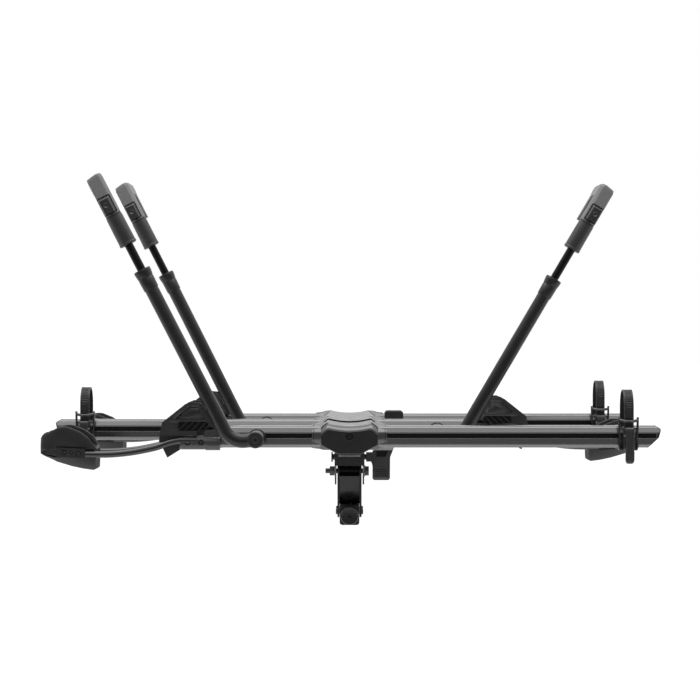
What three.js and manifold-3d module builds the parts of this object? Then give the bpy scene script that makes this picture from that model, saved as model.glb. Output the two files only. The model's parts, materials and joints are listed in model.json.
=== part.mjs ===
// A three-tray platform bike rack for a 2-inch hitch receiver.
// Millimetres. X runs along the trays, Y towards the vehicle, Z up.
// The origin is the centre of the hitch bar at its pin hole.
import * as THREE from 'three';
import { mergeVertices } from 'three/addons/utils/BufferGeometryUtils.js';
import Module from 'manifold-3d';

const wasm = await Module();
wasm.setup();

// ---- driving dimensions ------------------------------------------------------------------
const GAP = 0.35;                 // clearance between pieces that touch
const TRAY_Y = [-300, -600, -900];
const CRADLE_SIDE = [1, -1, 1];   // 1 keeps the wheel cradle on the -X side, -1 mirrors it
const ARM_LEAN = [26.75, 30.45, 27.25];
const ARM_EXTRA_REACH = [13, 16.5, 0];
const HOOK_TWIST = [0, 0, 5];     // how far each hook stands turned on its round rod
const STRAP_X = [642, 641, 638];
const STRAP_TOP = [341.5, 335, 339.5];

const BEAM_Z = 231.5;
const BEAM_HALF_HEIGHT = 25;
const BEAM_HALF_DEPTH = 23;
const BEAM_START = -330;
const BEAM_END = 680;
const TIP_END = 714;

const ROD_R = 6.5;
const ROD_Y = 50;
const ROD_TURN_X = -650;
const ROD_TURN_REACH = 34;
const SLEEVE_X = [-385, -295];
const SLEEVE_HALF_DEPTH = 57;
const TYRE_R = 370;               // clear circle that both chocks follow
const TYRE_X = -520;
const TYRE_Z = 570;
const CHOCK_HALF_DEPTH = 52;
const CHOCK_WALL = 7;

const PIVOT_X = -212;
const PIVOT_Z = 229;
const ARM_Y = -90;                // arm plane, measured from the tray's centre line
const ARM_OFFSET = -53;           // arm axis beside its pivot
const ARM_TUBE_R = 15.8;
const ARM_BEND_R = 48;
const ARM_LEG_RISE = 19.2;
const COLLAR_TOP = 458.9;
const COLLAR_LENGTH = 49;
const ROD_EXPOSED = 64;
const ARM_ROD_R = 9.8;
const GRIP_LENGTH = 78;
const HEAD_LENGTH = 96;
const HEAD_HALF_WIDTH = 18.5;
const HOOK_FAR_Y = 50;

const STRAP_WIDTH = 22;
const STRAP_HALF_LOOP = 42;
const STRAP_THICK = 3.5;
const SADDLE_HALF_WIDTH = 24;
const LEVER_Y = -56;
const LEVER_Z = 247;

const COVER_HALF_WIDTH = 65;
const COVER_SPLIT_Y = -750;
const COVER_FRONT_Y = -944;
const COVER_REAR_Y = -264;
const COVER_WALL = 4;
const COLLAR_X = 86.5;

const SPINE_HALF_WIDTH = 25;
const SPINE_BOTTOM = 175.5;
const SPINE_TOP = 206;
const SPINE_REAR_Y = -268;
const SPINE_FRONT_Y = -938;

const TILT_Y = -335;
const TILT_Z = 111;
const TILT_BOLT_R = 6.35;         // 1/2-inch bolts
const BRACKET_INNER = 33.6;
const BRACKET_OUTER = 37.6;
const TONGUE_OUTER = 30.8;
const TONGUE_HEAD_R = 40;
const LOCK_PIN_R = 6;
const LOCK_PIN_RADIUS = TONGUE_HEAD_R + LOCK_PIN_R + 0.6;
const LOCK_ANGLE = 123;           // degrees round the tilt bolt, from +Y towards +Z
const LOCK_TRAVEL = 7;
const PEDAL_Y = -411;
const PEDAL_Z = 151.5;

const BAR_HALF = 25.4;            // 2-inch receiver bar
const BAR_WALL = 5;
const BAR_REAR_Y = -368;
const SHANK_REAR_Y = -230;
const SHANK_STEP = 0.3;
const BAR_FRONT_Y = 60;
const PIN_HOLE_R = 8;             // 5/8-inch hitch pin
const DRAW_ROD_R = 6;
const WEDGE_Y = [-56, -20];       // window in the bar's lower wall, just behind the pin hole
const WEDGE_FOOT = 8.4;

const ROUND = 20;                 // sides of a round bar or bore

// ---- solids from three.js geometry -------------------------------------------------------
function solid(geometry) {
  const bare = geometry.index ? geometry.clone() : geometry;
  bare.deleteAttribute('normal');
  bare.deleteAttribute('uv');
  const merged = mergeVertices(bare, 1e-4);
  return new wasm.Manifold(new wasm.Mesh({
    numProp: 3,
    vertProperties: merged.attributes.position.array,
    triVerts: Uint32Array.from(merged.index.array),
  }));
}

function geometryOf(piece) {
  const mesh = piece.getMesh();
  const geometry = new THREE.BufferGeometry();
  geometry.setAttribute('position', new THREE.BufferAttribute(mesh.vertProperties.slice(), 3));
  geometry.setIndex(new THREE.BufferAttribute(mesh.triVerts.slice(), 1));
  return geometry;
}

function box(x0, x1, y0, y1, z0, z1) {
  const geometry = new THREE.BoxGeometry(x1 - x0, y1 - y0, z1 - z0);
  geometry.translate((x0 + x1) / 2, (y0 + y1) / 2, (z0 + z1) / 2);
  return solid(geometry);
}

function extruded(outline, length) {
  const shape = new THREE.Shape(outline.map(([a, b]) => new THREE.Vector2(a, b)));
  return new THREE.ExtrudeGeometry(shape, { depth: length, bevelEnabled: false, steps: 1 });
}

// An outline of [y, z] points, extruded along X.
function prismX(outline, x0, x1) {
  const geometry = extruded(outline, x1 - x0);
  geometry.applyMatrix4(new THREE.Matrix4().makeBasis(
    new THREE.Vector3(0, 1, 0), new THREE.Vector3(0, 0, 1), new THREE.Vector3(1, 0, 0)));
  geometry.translate(x0, 0, 0);
  return solid(geometry);
}

// An outline of [x, z] points, extruded along Y.
function prismY(outline, y0, y1) {
  const geometry = extruded(outline, y1 - y0);
  geometry.applyMatrix4(new THREE.Matrix4().makeBasis(
    new THREE.Vector3(1, 0, 0), new THREE.Vector3(0, 0, 1), new THREE.Vector3(0, -1, 0)));
  geometry.translate(0, y1, 0);
  return solid(geometry);
}

// A round bar or bore along one axis, stepped by [position, radius] pairs.
function turned(axis, steps, sides = ROUND) {
  const profile = [new THREE.Vector2(0, steps[0][0])];
  for (const [position, radius] of steps) profile.push(new THREE.Vector2(radius, position));
  profile.push(new THREE.Vector2(0, steps[steps.length - 1][0]));
  const geometry = new THREE.LatheGeometry(profile, sides);
  if (axis === 'x') geometry.rotateZ(-Math.PI / 2);
  if (axis === 'z') geometry.rotateX(Math.PI / 2);
  return solid(geometry);
}

function rod(axis, from, to, radius, sides = ROUND) {
  return turned(axis, [[from, radius], [to, radius]], sides);
}

// A path through ring points that keeps its own spacing, for ExtrudeGeometry.
class RingPath extends THREE.Curve {
  constructor(points) {
    super();
    this.points = points;
  }

  getPoint(t) {
    const place = Math.min(Math.max(t, 0), 1) * (this.points.length - 1);
    const index = Math.min(Math.floor(place), this.points.length - 2);
    return this.points[index].clone().lerp(this.points[index + 1], place - index);
  }

  getUtoTmapping(u) {
    return u;
  }
}

function circle(radius, sides) {
  const shape = new THREE.Shape();
  for (let i = 0; i < sides; i++) {
    const angle = (i + 0.5) * 2 * Math.PI / sides;
    const point = [radius * Math.cos(angle), radius * Math.sin(angle)];
    if (i === 0) shape.moveTo(...point);
    else shape.lineTo(...point);
  }
  return shape;
}

function pipe(points, radius, sides) {
  const path = new RingPath(points);
  return solid(new THREE.ExtrudeGeometry(circle(radius, sides), {
    steps: points.length - 1, extrudePath: path,
  }));
}

// Corner points of a route, each corner replaced by an arc-like bend of equal tangents.
function rounded(corners, radius, steps) {
  const points = [corners[0]];
  for (let i = 1; i < corners.length - 1; i++) {
    const into = corners[i].clone().sub(corners[i - 1]).normalize();
    const out = corners[i + 1].clone().sub(corners[i]).normalize();
    const turn = into.angleTo(out);
    const reach = radius * Math.tan(turn / 2);
    const start = corners[i].clone().addScaledVector(into, -reach);
    const normal = out.clone().addScaledVector(into, -out.dot(into)).normalize();
    const centre = start.clone().addScaledVector(normal, radius);
    for (let k = 0; k <= steps; k++) {
      const angle = turn * k / steps;
      points.push(centre.clone()
        .addScaledVector(normal, -radius * Math.cos(angle))
        .addScaledVector(into, radius * Math.sin(angle)));
    }
  }
  points.push(corners[corners.length - 1]);
  return points;
}

function arc(cx, cy, radius, from, to, steps) {
  const points = [];
  for (let i = 0; i <= steps; i++) {
    const angle = (from + (to - from) * i / steps) * Math.PI / 180;
    points.push([cx + radius * Math.cos(angle), cy + radius * Math.sin(angle)]);
  }
  return points;
}

// ---- materials ---------------------------------------------------------------------------
const FINISH = {
  extrusion: [0x2b2c2e, 0.45, 0.6],
  casting: [0x232426, 0.55, 0.4],
  powder_coat: [0x1d1e20, 0.5, 0.5],
  steel_dark: [0x101112, 0.35, 0.8],
  plastic: [0x2f3032, 0.6, 0.0],
  rubber: [0x3a3b3d, 0.8, 0.0],
  strap: [0x242526, 0.65, 0.0],
  zinc: [0x6a6c70, 0.35, 0.9],
};

const group = new THREE.Group();

function add(name, piece, finish, place = {}) {
  const geometry = geometryOf(piece);
  if (place.mirrored) {
    geometry.scale(-1, 1, 1);
    const index = geometry.index.array;
    for (let i = 0; i < index.length; i += 3) [index[i], index[i + 1]] = [index[i + 1], index[i]];
  }
  const [color, roughness, metalness] = FINISH[finish];
  const mesh = new THREE.Mesh(geometry, new THREE.MeshStandardMaterial({ color, roughness, metalness }));
  mesh.name = name;
  mesh.position.y = place.y ?? 0;
  group.add(mesh);
}

// ---- beam and its end cap ----------------------------------------------------------------
function beamOutline(grow = 0, grooved = false) {
  const half = BEAM_HALF_HEIGHT + grow;
  const depth = BEAM_HALF_DEPTH + grow;
  const side = [[-10, half], [-18 - grow, half - 3], [-depth, 9]];
  if (grooved) side.push([-16, 8], [-16, -2], [-depth, -3]);
  side.push([-depth, -17], [-18 - grow, -half]);
  const other = side.map(([y, z]) => [-y, z]).reverse();
  return [...side, ...other].map(([y, z]) => [y, z + BEAM_Z]);
}

const boreOutline = [[-12.5, -21], [12.5, -21], [12.5, 18], [9, 21], [-9, 21], [-12.5, 18]]
  .map(([y, z]) => [y, z + BEAM_Z]);

function beam() {
  const top = BEAM_Z + BEAM_HALF_HEIGHT;
  const slant = prismY([[BEAM_START - 1, BEAM_Z + 11], [BEAM_START + 18, top + 1], [BEAM_START - 1, top + 1]],
    -40, 40);
  const drill = rod('y', -BEAM_HALF_DEPTH - 1, 4, TILT_BOLT_R + GAP)
    .translate([PIVOT_X, 0, PIVOT_Z]);
  return prismX(beamOutline(0, true), BEAM_START, BEAM_END)
    .subtract(prismX(boreOutline, BEAM_START - 1, BEAM_END + 1))
    .subtract(slant)
    .subtract(drill);
}

function endCap() {
  const start = BEAM_END + GAP;
  const top = BEAM_Z + BEAM_HALF_HEIGHT;
  const bottom = BEAM_Z - BEAM_HALF_HEIGHT;
  const side = [[start, bottom], [start + 4, bottom], [TIP_END - 5, BEAM_Z - 2], [TIP_END, BEAM_Z + 16],
    [TIP_END - 3, BEAM_Z + 20], [TIP_END - 12, top], [start, top]];
  const nose = prismY(side, -40, 40).intersect(prismX(beamOutline(), start, TIP_END));
  const plug = [[-12, -20], [12, -20], [12, 17], [8.5, 20], [-8.5, 20], [-12, 17]]
    .map(([y, z]) => [y, z + BEAM_Z]);
  return nose.add(prismX(plug, start - 18, start + 1));
}

// ---- wheel cradle: sleeve, rods and the two chocks ---------------------------------------
function rodPath() {
  const half = [[SLEEVE_X[0] + 38, 224], [SLEEVE_X[0] - 4, 224], [-412, 218], [-439, 208], [-470, 201],
    [-502, 195.5], [-546, 191], [-600, 192], [ROD_TURN_X, 196]];
  const near = half.map(([x, z]) => new THREE.Vector3(x, -ROD_Y, z));
  const turn = arc(0, 0, 1, 255, 105, 6)
    .map(([x, y]) => new THREE.Vector3(ROD_TURN_X + ROD_TURN_REACH * x, ROD_Y * y, 197));
  const far = half.map(([x, z]) => new THREE.Vector3(x, ROD_Y, z)).reverse();
  return [...near, ...turn, ...far];
}

const cradleRods = pipe(rodPath(), ROD_R, 10);
const rodChannel = pipe(rodPath(), ROD_R + 0.6, 10);

function cradleSleeve() {
  const [x0, x1] = SLEEVE_X;
  const d = SLEEVE_HALF_DEPTH;
  const plan = [[x0, -d], [x0 + 62, -d], [x1, -38], [x1, 38], [x0 + 62, d], [x0, d]];
  const block = solid(extruded(plan, 28)).translate([0, 0, 206]);
  return block
    .subtract(prismX(beamOutline(GAP), BEAM_START - GAP, x1 + 1))
    .subtract(rodChannel);
}

function tyreCircle(radius) {
  return rod('y', -80, 80, radius, 120).translate([TYRE_X, 0, TYRE_Z]);
}

function outerChock() {
  const side = [[-706, 194], [-703, 236], [-667, 253], [-655, 255], [-612, 244], [-597, 233],
    [-582, 214], [-580, 203], [-579, 185], [-583, 156], [-606, 159], [-634, 165], [-667, 175]];
  const hull = [[-22, 150], [22, 150], [42, 176], [CHOCK_HALF_DEPTH, 205], [CHOCK_HALF_DEPTH, 260],
    [-CHOCK_HALF_DEPTH, 260], [-CHOCK_HALF_DEPTH, 205], [-42, 176]];
  const boss = [[-664, 186], [-664, 210], [-604, 206], [-604, 183]];
  const tread = tyreCircle(TYRE_R);
  const hollow = [[-688, 190], [-688, 212], [-588, 212], [-588, 166], [-640, 172]];
  const inside = CHOCK_HALF_DEPTH - CHOCK_WALL;
  const block = prismY(side, -CHOCK_HALF_DEPTH, CHOCK_HALF_DEPTH)
    .intersect(prismX(hull, -720, -560))
    .add(prismY(boss, -58, 58));
  return block
    .subtract(tread.intersect(box(-720, -560, -inside, inside, 100, 400)))
    .subtract(prismY(hollow, -24, 24).subtract(tyreCircle(TYRE_R + 6)))
    .subtract(box(-650, -600, -16, 16, 140, 190))
    .subtract(rodChannel);
}

function innerChock() {
  const upper = [[-433, 236], [-427, 266], [-374, 308], [-361, 313], [-340, 311], [-311, 260],
    [-313, 258], [-332, 243.5], [-332, 236]];
  const lower = [[-435, 222], [-426, 206], [-416, 185], [-387, 203], [-387, 240], [-433, 240]];
  const inside = CHOCK_HALF_DEPTH - CHOCK_WALL;
  const narrow = ROD_Y - ROD_R - 1;
  const recess = [[-395, 274], [-368, 299], [-346, 299], [-332, 274]];
  return prismY(upper, -CHOCK_HALF_DEPTH, CHOCK_HALF_DEPTH)
    .add(prismY(lower, -narrow, narrow))
    .subtract(tyreCircle(TYRE_R).intersect(box(-460, -284, -inside, inside, 243, 400)))
    .subtract(tyreCircle(TYRE_R).intersect(box(-460, -284, -36, 36, 100, 244)))
    .subtract(prismY(recess, -CHOCK_HALF_DEPTH - 1, -CHOCK_HALF_DEPTH + 3))
    .subtract(box(-348, -300, 37, 60, 230, 257))
    .subtract(box(-348, -300, -60, -37, 230, 257));
}

// ---- arm ---------------------------------------------------------------------------------
// An arm is drawn upright round its pivot, then leaned over and moved to its tray.
function onArm(piece, tray) {
  return piece.rotate([0, -ARM_LEAN[tray], 0]).translate([PIVOT_X, ARM_Y, PIVOT_Z]);
}

// The rod, hook and button are drawn round the arm's own axis.
function onRod(piece, tray) {
  return onArm(piece.rotate([0, 0, HOOK_TWIST[tray]]).translate([ARM_OFFSET, 0, 0]), tray);
}

function armPivotBolt() {
  const face = -BEAM_HALF_DEPTH;
  return turned('y', [[-ARM_Y - 113, 18.8], [-ARM_Y - 107.4, 18.8], [-ARM_Y - 107.4, TILT_BOLT_R],
    [-ARM_Y + face + 6, TILT_BOLT_R]]);
}

function armTube() {
  const barrel = turned('y', [[-16.8, 18.8], [53, 18.8], [56, 21.3], [66.6, 21.3]]);
  const corners = [new THREE.Vector3(0, 0, 0), new THREE.Vector3(ARM_OFFSET, 0, ARM_LEG_RISE),
    new THREE.Vector3(ARM_OFFSET, 0, COLLAR_TOP - 12)];
  const bore = rod('z', 190, COLLAR_TOP + 1, ARM_TUBE_R - 3).translate([ARM_OFFSET, 0, 0]);
  const bend = rounded(corners, ARM_BEND_R, 7);
  return barrel
    .add(pipe(bend, ARM_TUBE_R, ROUND))
    .subtract(bore)
    .subtract(rod('y', -30, 80, TILT_BOLT_R + GAP));
}

function armCollar() {
  const bottom = COLLAR_TOP - COLLAR_LENGTH;
  return turned('z', [[bottom, 17.4], [bottom + 30, 18], [COLLAR_TOP - 6, 19.8], [COLLAR_TOP, 19.4]])
    .subtract(rod('z', bottom - 1, COLLAR_TOP - 11.5, ARM_TUBE_R + GAP))
    .subtract(rod('z', bottom, COLLAR_TOP + 1, ARM_ROD_R + GAP))
    .translate([ARM_OFFSET, 0, 0]);
}

function armRod(gripStart) {
  return rod('z', gripStart - ROD_EXPOSED - 165, gripStart + 60, ARM_ROD_R);
}

function buttonPocket(headStart, grow) {
  return box(-13.5 - grow, 10.5 + grow, -22 - grow, -9 + grow, headStart + 6 - grow, headStart + 47 + grow);
}

function hook(gripStart) {
  const headStart = gripStart + GRIP_LENGTH;
  const top = headStart + HEAD_LENGTH;
  const farBack = HOOK_FAR_Y - ARM_Y + 13;
  const side = [[-17, headStart - 4], [-17, top - 8], [-9, top], [farBack - 10, top], [farBack, top - 10],
    [farBack, headStart + 4], [farBack - 22, headStart + 2], [farBack - 28, headStart + 12],
    [farBack - 30, top - 40], [farBack - 38, top - 30], [28, top - 30], [18, top - 40], [16, headStart - 4]];
  const w = HEAD_HALF_WIDTH;
  const face = [[-w, headStart - 4], [w, headStart - 4], [w, top - 9], [w - 9, top], [-w + 8, top], [-w, top - 8]];
  const frame = prismX(side, -w, w).intersect(prismY(face, -60, farBack + 20));
  const grip = turned('z', [[gripStart, 18.6], [gripStart + 3, 20], [headStart - 8, 18.4],
    [headStart - 3, 17.4], [headStart - 1, 17.4]]);
  const farNarrow = HEAD_HALF_WIDTH - 4;
  const trims = box(farNarrow, 30, 30, farBack + 1, headStart - 10, top + 1)
    .add(box(-30, -farNarrow, 30, farBack + 1, headStart - 10, top + 1));
  return frame.subtract(trims).add(grip)
    .subtract(rod('z', gripStart - 1, gripStart + 61, ARM_ROD_R + GAP))
    .subtract(buttonPocket(headStart, 0.6));
}

function hookButton(gripStart) {
  const headStart = gripStart + GRIP_LENGTH;
  return box(-13.5, 10.5, -21, -14.6, headStart + 6, headStart + 47);
}

// ---- wheel strap -------------------------------------------------------------------------
// The strap pieces are drawn round X = 0 and moved to their place along the beam.
function loopOutline(inset, top, foot) {
  const half = STRAP_HALF_LOOP - inset;
  const crown = top - STRAP_HALF_LOOP;
  return [[-half, foot], ...arc(0, crown, half, 180, 0, 14), [half, foot]];
}

function wheelStrap(top) {
  const half = STRAP_WIDTH / 2;
  return prismX(loopOutline(0, top, 222), -half, half)
    .subtract(prismX(loopOutline(STRAP_THICK, top, 220), -half - 1, half + 1));
}

function strapSaddle() {
  const half = SADDLE_HALF_WIDTH;
  const face = -BEAM_HALF_DEPTH - GAP;
  const frame = prismY([[-half, 205], [-half + 3, 200], [half - 3, 200], [half, 205], [half, 272],
    [half - 1, 278], [half - 5, 271.5], [0, 269], [-half + 5, 271.5], [-half + 1, 278], [-half, 272]],
  -36, face);
  const opening = box(-half + 4.5, half - 4.5, -60, face + 1, 214, 264.5);
  const housing = box(-12.5, 12.5, -52, face, 203, 236).add(box(-12.5, 12.5, -46.5, face, 230, 256));
  const floor = box(-half + 2, half - 2, -30, 46, 200, BEAM_Z - BEAM_HALF_HEIGHT - GAP);
  const back = box(-half + 2, half - 2, BEAM_HALF_DEPTH + GAP, 46, 200, 256);
  const wayHalf = STRAP_WIDTH / 2 + GAP;
  const inside = STRAP_HALF_LOOP - STRAP_THICK - GAP;
  const outside = STRAP_HALF_LOOP + GAP;
  const strapWay = box(-wayHalf, wayHalf, -outside, -inside, 221.4, 300)
    .add(box(-wayHalf, wayHalf, inside, outside, 221.4, 300));
  return frame.subtract(opening).add(housing).add(floor).add(back).subtract(strapWay);
}

function buckleLever() {
  const side = [[LEVER_Y - 3, LEVER_Z - 4], [LEVER_Y + 3, LEVER_Z - 4], [LEVER_Y + 3, LEVER_Z + 5],
    [LEVER_Y - 2, LEVER_Z + 7], [LEVER_Y - 7, LEVER_Z + 2], [LEVER_Y - 7, 200], [LEVER_Y - 4, 176],
    [LEVER_Y + 1, 172], [LEVER_Y + 2, 178], [LEVER_Y - 1, 200], [LEVER_Y - 1, 232], [LEVER_Y - 2, 236]];
  const face = [[-10.3, 180], [-6, 172], [6, 172], [10.3, 180], [10.3, 260], [-10.3, 260]];
  return prismX(side, -11, 11).intersect(prismY(face, -90, -40));
}

// ---- trays -------------------------------------------------------------------------------
TRAY_Y.forEach((y, tray) => {
  const label = `tray_${tray + 1}`;
  const place = { y, mirrored: CRADLE_SIDE[tray] < 0 };
  const gripStart = COLLAR_TOP + ROD_EXPOSED + ARM_EXTRA_REACH[tray];
  add(`${label}_beam`, beam(), 'extrusion', place);
  add(`${label}_end_cap`, endCap(), 'plastic', place);
  add(`${label}_cradle_sleeve`, cradleSleeve(), 'casting', place);
  add(`${label}_cradle_rods`, cradleRods, 'powder_coat', place);
  add(`${label}_outer_chock`, outerChock(), 'plastic', place);
  add(`${label}_inner_chock`, innerChock(), 'plastic', place);
  add(`${label}_arm_bolt`, onArm(armPivotBolt(), tray), 'zinc', place);
  add(`${label}_arm_tube`, onArm(armTube(), tray), 'powder_coat', place);
  add(`${label}_arm_collar`, onArm(armCollar(), tray), 'plastic', place);
  add(`${label}_arm_rod`, onRod(armRod(gripStart), tray), 'steel_dark', place);
  add(`${label}_hook`, onRod(hook(gripStart), tray), 'rubber', place);
  add(`${label}_hook_button`, onRod(hookButton(gripStart), tray), 'plastic', place);
  const alongBeam = [STRAP_X[tray], 0, 0];
  add(`${label}_strap_saddle`, strapSaddle().translate(alongBeam), 'plastic', place);
  add(`${label}_wheel_strap`, wheelStrap(STRAP_TOP[tray]).translate(alongBeam), 'strap', place);
  add(`${label}_buckle_lever`, buckleLever().translate(alongBeam), 'plastic', place);
});

// ---- hub covers --------------------------------------------------------------------------
function coverOutline(inset) {
  const w = COVER_HALF_WIDTH - inset;
  const right = [[0, 193 + inset], [26, 193 + inset], [w, 214 + inset / 2], [w, 250 - inset],
    [61 - inset, 256 - inset], [49.5, 264 - inset], [30, 259.5 - inset], [0, 257.5 - inset]];
  const left = right.slice(1, -1).map(([x, z]) => [-x, z]).reverse();
  return [...right, ...left];
}

// Where the collars swell from the beam up to the crest of the cover.
const collarTaper = [[-COLLAR_X, 240], [-COLLAR_X, 258], [-60, 264.5], [60, 264.5], [COLLAR_X, 258],
  [COLLAR_X, 240]];

// One cover over the spine, with a collar round every beam that crosses it.
function cover(rear, front, trays) {
  let shell = prismY(coverOutline(0), front, rear);
  let hollow = prismY(coverOutline(COVER_WALL), front - 1, rear + 1);
  for (const y of trays) {
    const ring = beamOutline(3.2).map(([a, b]) => [a + y, b]);
    const crown = beamOutline(9).map(([a, b]) => [a + y, b]);
    shell = shell.add(prismX(ring, -COLLAR_X, COLLAR_X))
      .add(prismX(crown, -COLLAR_X, COLLAR_X).intersect(prismY(collarTaper, y - 40, y + 40)));
    const passage = beamOutline(GAP).map(([a, b]) => [a + y, b]);
    hollow = hollow.add(prismX(passage, -COLLAR_X - 1, COLLAR_X + 1));
  }
  const underside = box(-40, 40, front - 1, rear + 1, 180, 204);
  return shell.subtract(hollow).subtract(underside);
}

function frontCover() {
  const nose = prismX([[COVER_FRONT_Y - 1, 251], [COVER_FRONT_Y + 5, 258], [COVER_FRONT_Y + 20, 266],
    [COVER_FRONT_Y - 1, 266]], -90, 90);
  return cover(COVER_SPLIT_Y - GAP, COVER_FRONT_Y, [TRAY_Y[2]]).subtract(nose);
}

function rearCover() {
  return cover(COVER_REAR_Y, COVER_SPLIT_Y + GAP, [TRAY_Y[0], TRAY_Y[1]]);
}

function hubEndCap() {
  const cap = [[-26, 193], [26, 193], [65, 214], [65, 240], [49, 251.4], [30, 247], [0, 245.7],
    [-30, 247], [-49, 251.4], [-65, 240], [-65, 214]];
  const recess = turned('y', [[COVER_FRONT_Y - 8, 9.6], [COVER_FRONT_Y - 4, 9.6]]).translate([0, 0, 234]);
  return prismY(cap, COVER_FRONT_Y - 7, COVER_FRONT_Y - GAP).subtract(recess);
}

// ---- spine, bracket and tongue -----------------------------------------------------------
function saddleCheeks(y) {
  const reach = BEAM_HALF_DEPTH + GAP;
  const z0 = SPINE_TOP - 1;
  return box(-22, 22, y - reach - 4, y - reach, z0, 228)
    .add(box(-22, 22, y + reach, y + reach + 4, z0, 228));
}

function spineTube() {
  const w = SPINE_HALF_WIDTH;
  return box(-w, w, COVER_SPLIT_Y + GAP, SPINE_REAR_Y, SPINE_BOTTOM, SPINE_TOP)
    .subtract(box(-w + 3, w - 3, COVER_SPLIT_Y - 1, SPINE_REAR_Y + 1, SPINE_BOTTOM + 3, SPINE_TOP - 3))
    .add(saddleCheeks(TRAY_Y[0]))
    .add(saddleCheeks(TRAY_Y[1]));
}

function extensionTube() {
  const w = SPINE_HALF_WIDTH;
  const rear = COVER_SPLIT_Y - GAP;
  const side = [[SPINE_FRONT_Y, 193.5], [rear - 20, SPINE_BOTTOM], [rear, SPINE_BOTTOM], [rear, SPINE_TOP],
    [SPINE_FRONT_Y, SPINE_TOP]];
  const bore = [[SPINE_FRONT_Y + 30, 195], [rear - 20, SPINE_BOTTOM + 3], [rear + 1, SPINE_BOTTOM + 3],
    [rear + 1, SPINE_TOP - 3], [SPINE_FRONT_Y + 30, SPINE_TOP - 3]];
  return prismX(side, -w, w)
    .subtract(prismX(bore, -w + 3, w - 3))
    .add(box(-w + 3.4, w - 3.4, -790, -690, SPINE_BOTTOM + 3.4, SPINE_TOP - 3.4)
      .subtract(box(-w + 7, w - 7, -791, -689, SPINE_BOTTOM + 7, SPINE_TOP - 7)))
    .add(box(-w + 2, w - 2, -790, -770, SPINE_BOTTOM + 2, SPINE_BOTTOM + 5))
    .add(saddleCheeks(TRAY_Y[2]));
}

function pivotBracket() {
  const ceiling = SPINE_BOTTOM - GAP;
  const side = [[-440, ceiling], [-440, 131], [-402, 124], [TILT_Y - 26, 94], [TILT_Y - 15, 77],
    [TILT_Y + 15, 77], [TILT_Y + 26, 94], [-280, 140], [-275, ceiling]];
  const plates = prismX(side, -BRACKET_OUTER, BRACKET_OUTER)
    .subtract(box(-BRACKET_INNER, BRACKET_INNER, -500, -200, 60, ceiling - 4))
    .add(box(-BRACKET_INNER - 1, BRACKET_INNER + 1, -440, -436, 131, ceiling - 1));
  const angle = LOCK_ANGLE * Math.PI / 180;
  let slots = rod('x', -60, 60, LOCK_PIN_R + GAP, 12);
  slots = slots.add(slots.translate([0, LOCK_TRAVEL * Math.cos(angle), LOCK_TRAVEL * Math.sin(angle)]))
    .add(box(-60, 60, -LOCK_PIN_R - GAP, LOCK_PIN_R + GAP, 0, LOCK_TRAVEL).rotate([LOCK_ANGLE - 90, 0, 0]));
  return plates
    .subtract(rod('x', -60, 60, TILT_BOLT_R + GAP).translate([0, TILT_Y, TILT_Z]))
    .subtract(rod('x', -60, 60, 7 + GAP).translate([0, PEDAL_Y, PEDAL_Z]))
    .subtract(slots.translate([0, TILT_Y + LOCK_PIN_RADIUS * Math.cos(angle),
      TILT_Z + LOCK_PIN_RADIUS * Math.sin(angle)]));
}

function lockPin() {
  const angle = LOCK_ANGLE * Math.PI / 180;
  return rod('x', -BRACKET_OUTER - 3, BRACKET_OUTER + 3, LOCK_PIN_R, 12)
    .translate([0, TILT_Y + LOCK_PIN_RADIUS * Math.cos(angle), TILT_Z + LOCK_PIN_RADIUS * Math.sin(angle)]);
}

function tongue() {
  const foot = [[-367, -3], [-362, -6], [-244, -6], [-240, -2], [-240, 20], [-262, 26]];
  const side = [...foot, [-292, 60], ...arc(TILT_Y, TILT_Z, TONGUE_HEAD_R, -30, 190, 16), [-372, 60], [-368, 20]];
  const inner = BAR_HALF + GAP;
  const hollow = box(-inner, inner, -500, -200, -60, 200);
  const web = [[-374, 100], [-369, 103], [-360, 70], [-348, 44], [-330, 30], [-286, 30], [-286, 26.2],
    [-334, 26.2], [-353, 41], [-366, 68]];
  let head = prismX(side, -TONGUE_OUTER, TONGUE_OUTER).subtract(hollow)
    .add(prismX(web, -inner - 1, inner + 1))
    .add(rod('x', -inner - 1, inner + 1, 14).translate([0, TILT_Y, TILT_Z]))
    .subtract(rod('x', -60, 60, TILT_BOLT_R + GAP).translate([0, TILT_Y, TILT_Z]));
  for (const turn of [0, 90, -22]) {
    const angle = (LOCK_ANGLE - turn) * Math.PI / 180;
    const seat = TONGUE_HEAD_R + 2;
    head = head.subtract(rod('x', -60, 60, LOCK_PIN_R + GAP, 12)
      .translate([0, TILT_Y + seat * Math.cos(angle), TILT_Z + seat * Math.sin(angle)]));
  }
  return head;
}

function tiltBolt() {
  return turned('x', [[-61.5, TILT_BOLT_R], [BRACKET_OUTER + 0.6, TILT_BOLT_R],
    [BRACKET_OUTER + 0.6, 14.5], [BRACKET_OUTER + 3, 14.5]], 24)
    .add(rod('x', BRACKET_OUTER + 2, BRACKET_OUTER + 12, 13.4, 6).rotate([30, 0, 0]))
    .translate([0, TILT_Y, TILT_Z]);
}

function tiltNut() {
  return rod('x', -BRACKET_OUTER - 13, -BRACKET_OUTER - 0.6, 13.4, 6).rotate([30, 0, 0])
    .subtract(rod('x', -80, 0, TILT_BOLT_R + GAP, 24))
    .translate([0, TILT_Y, TILT_Z]);
}

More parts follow.
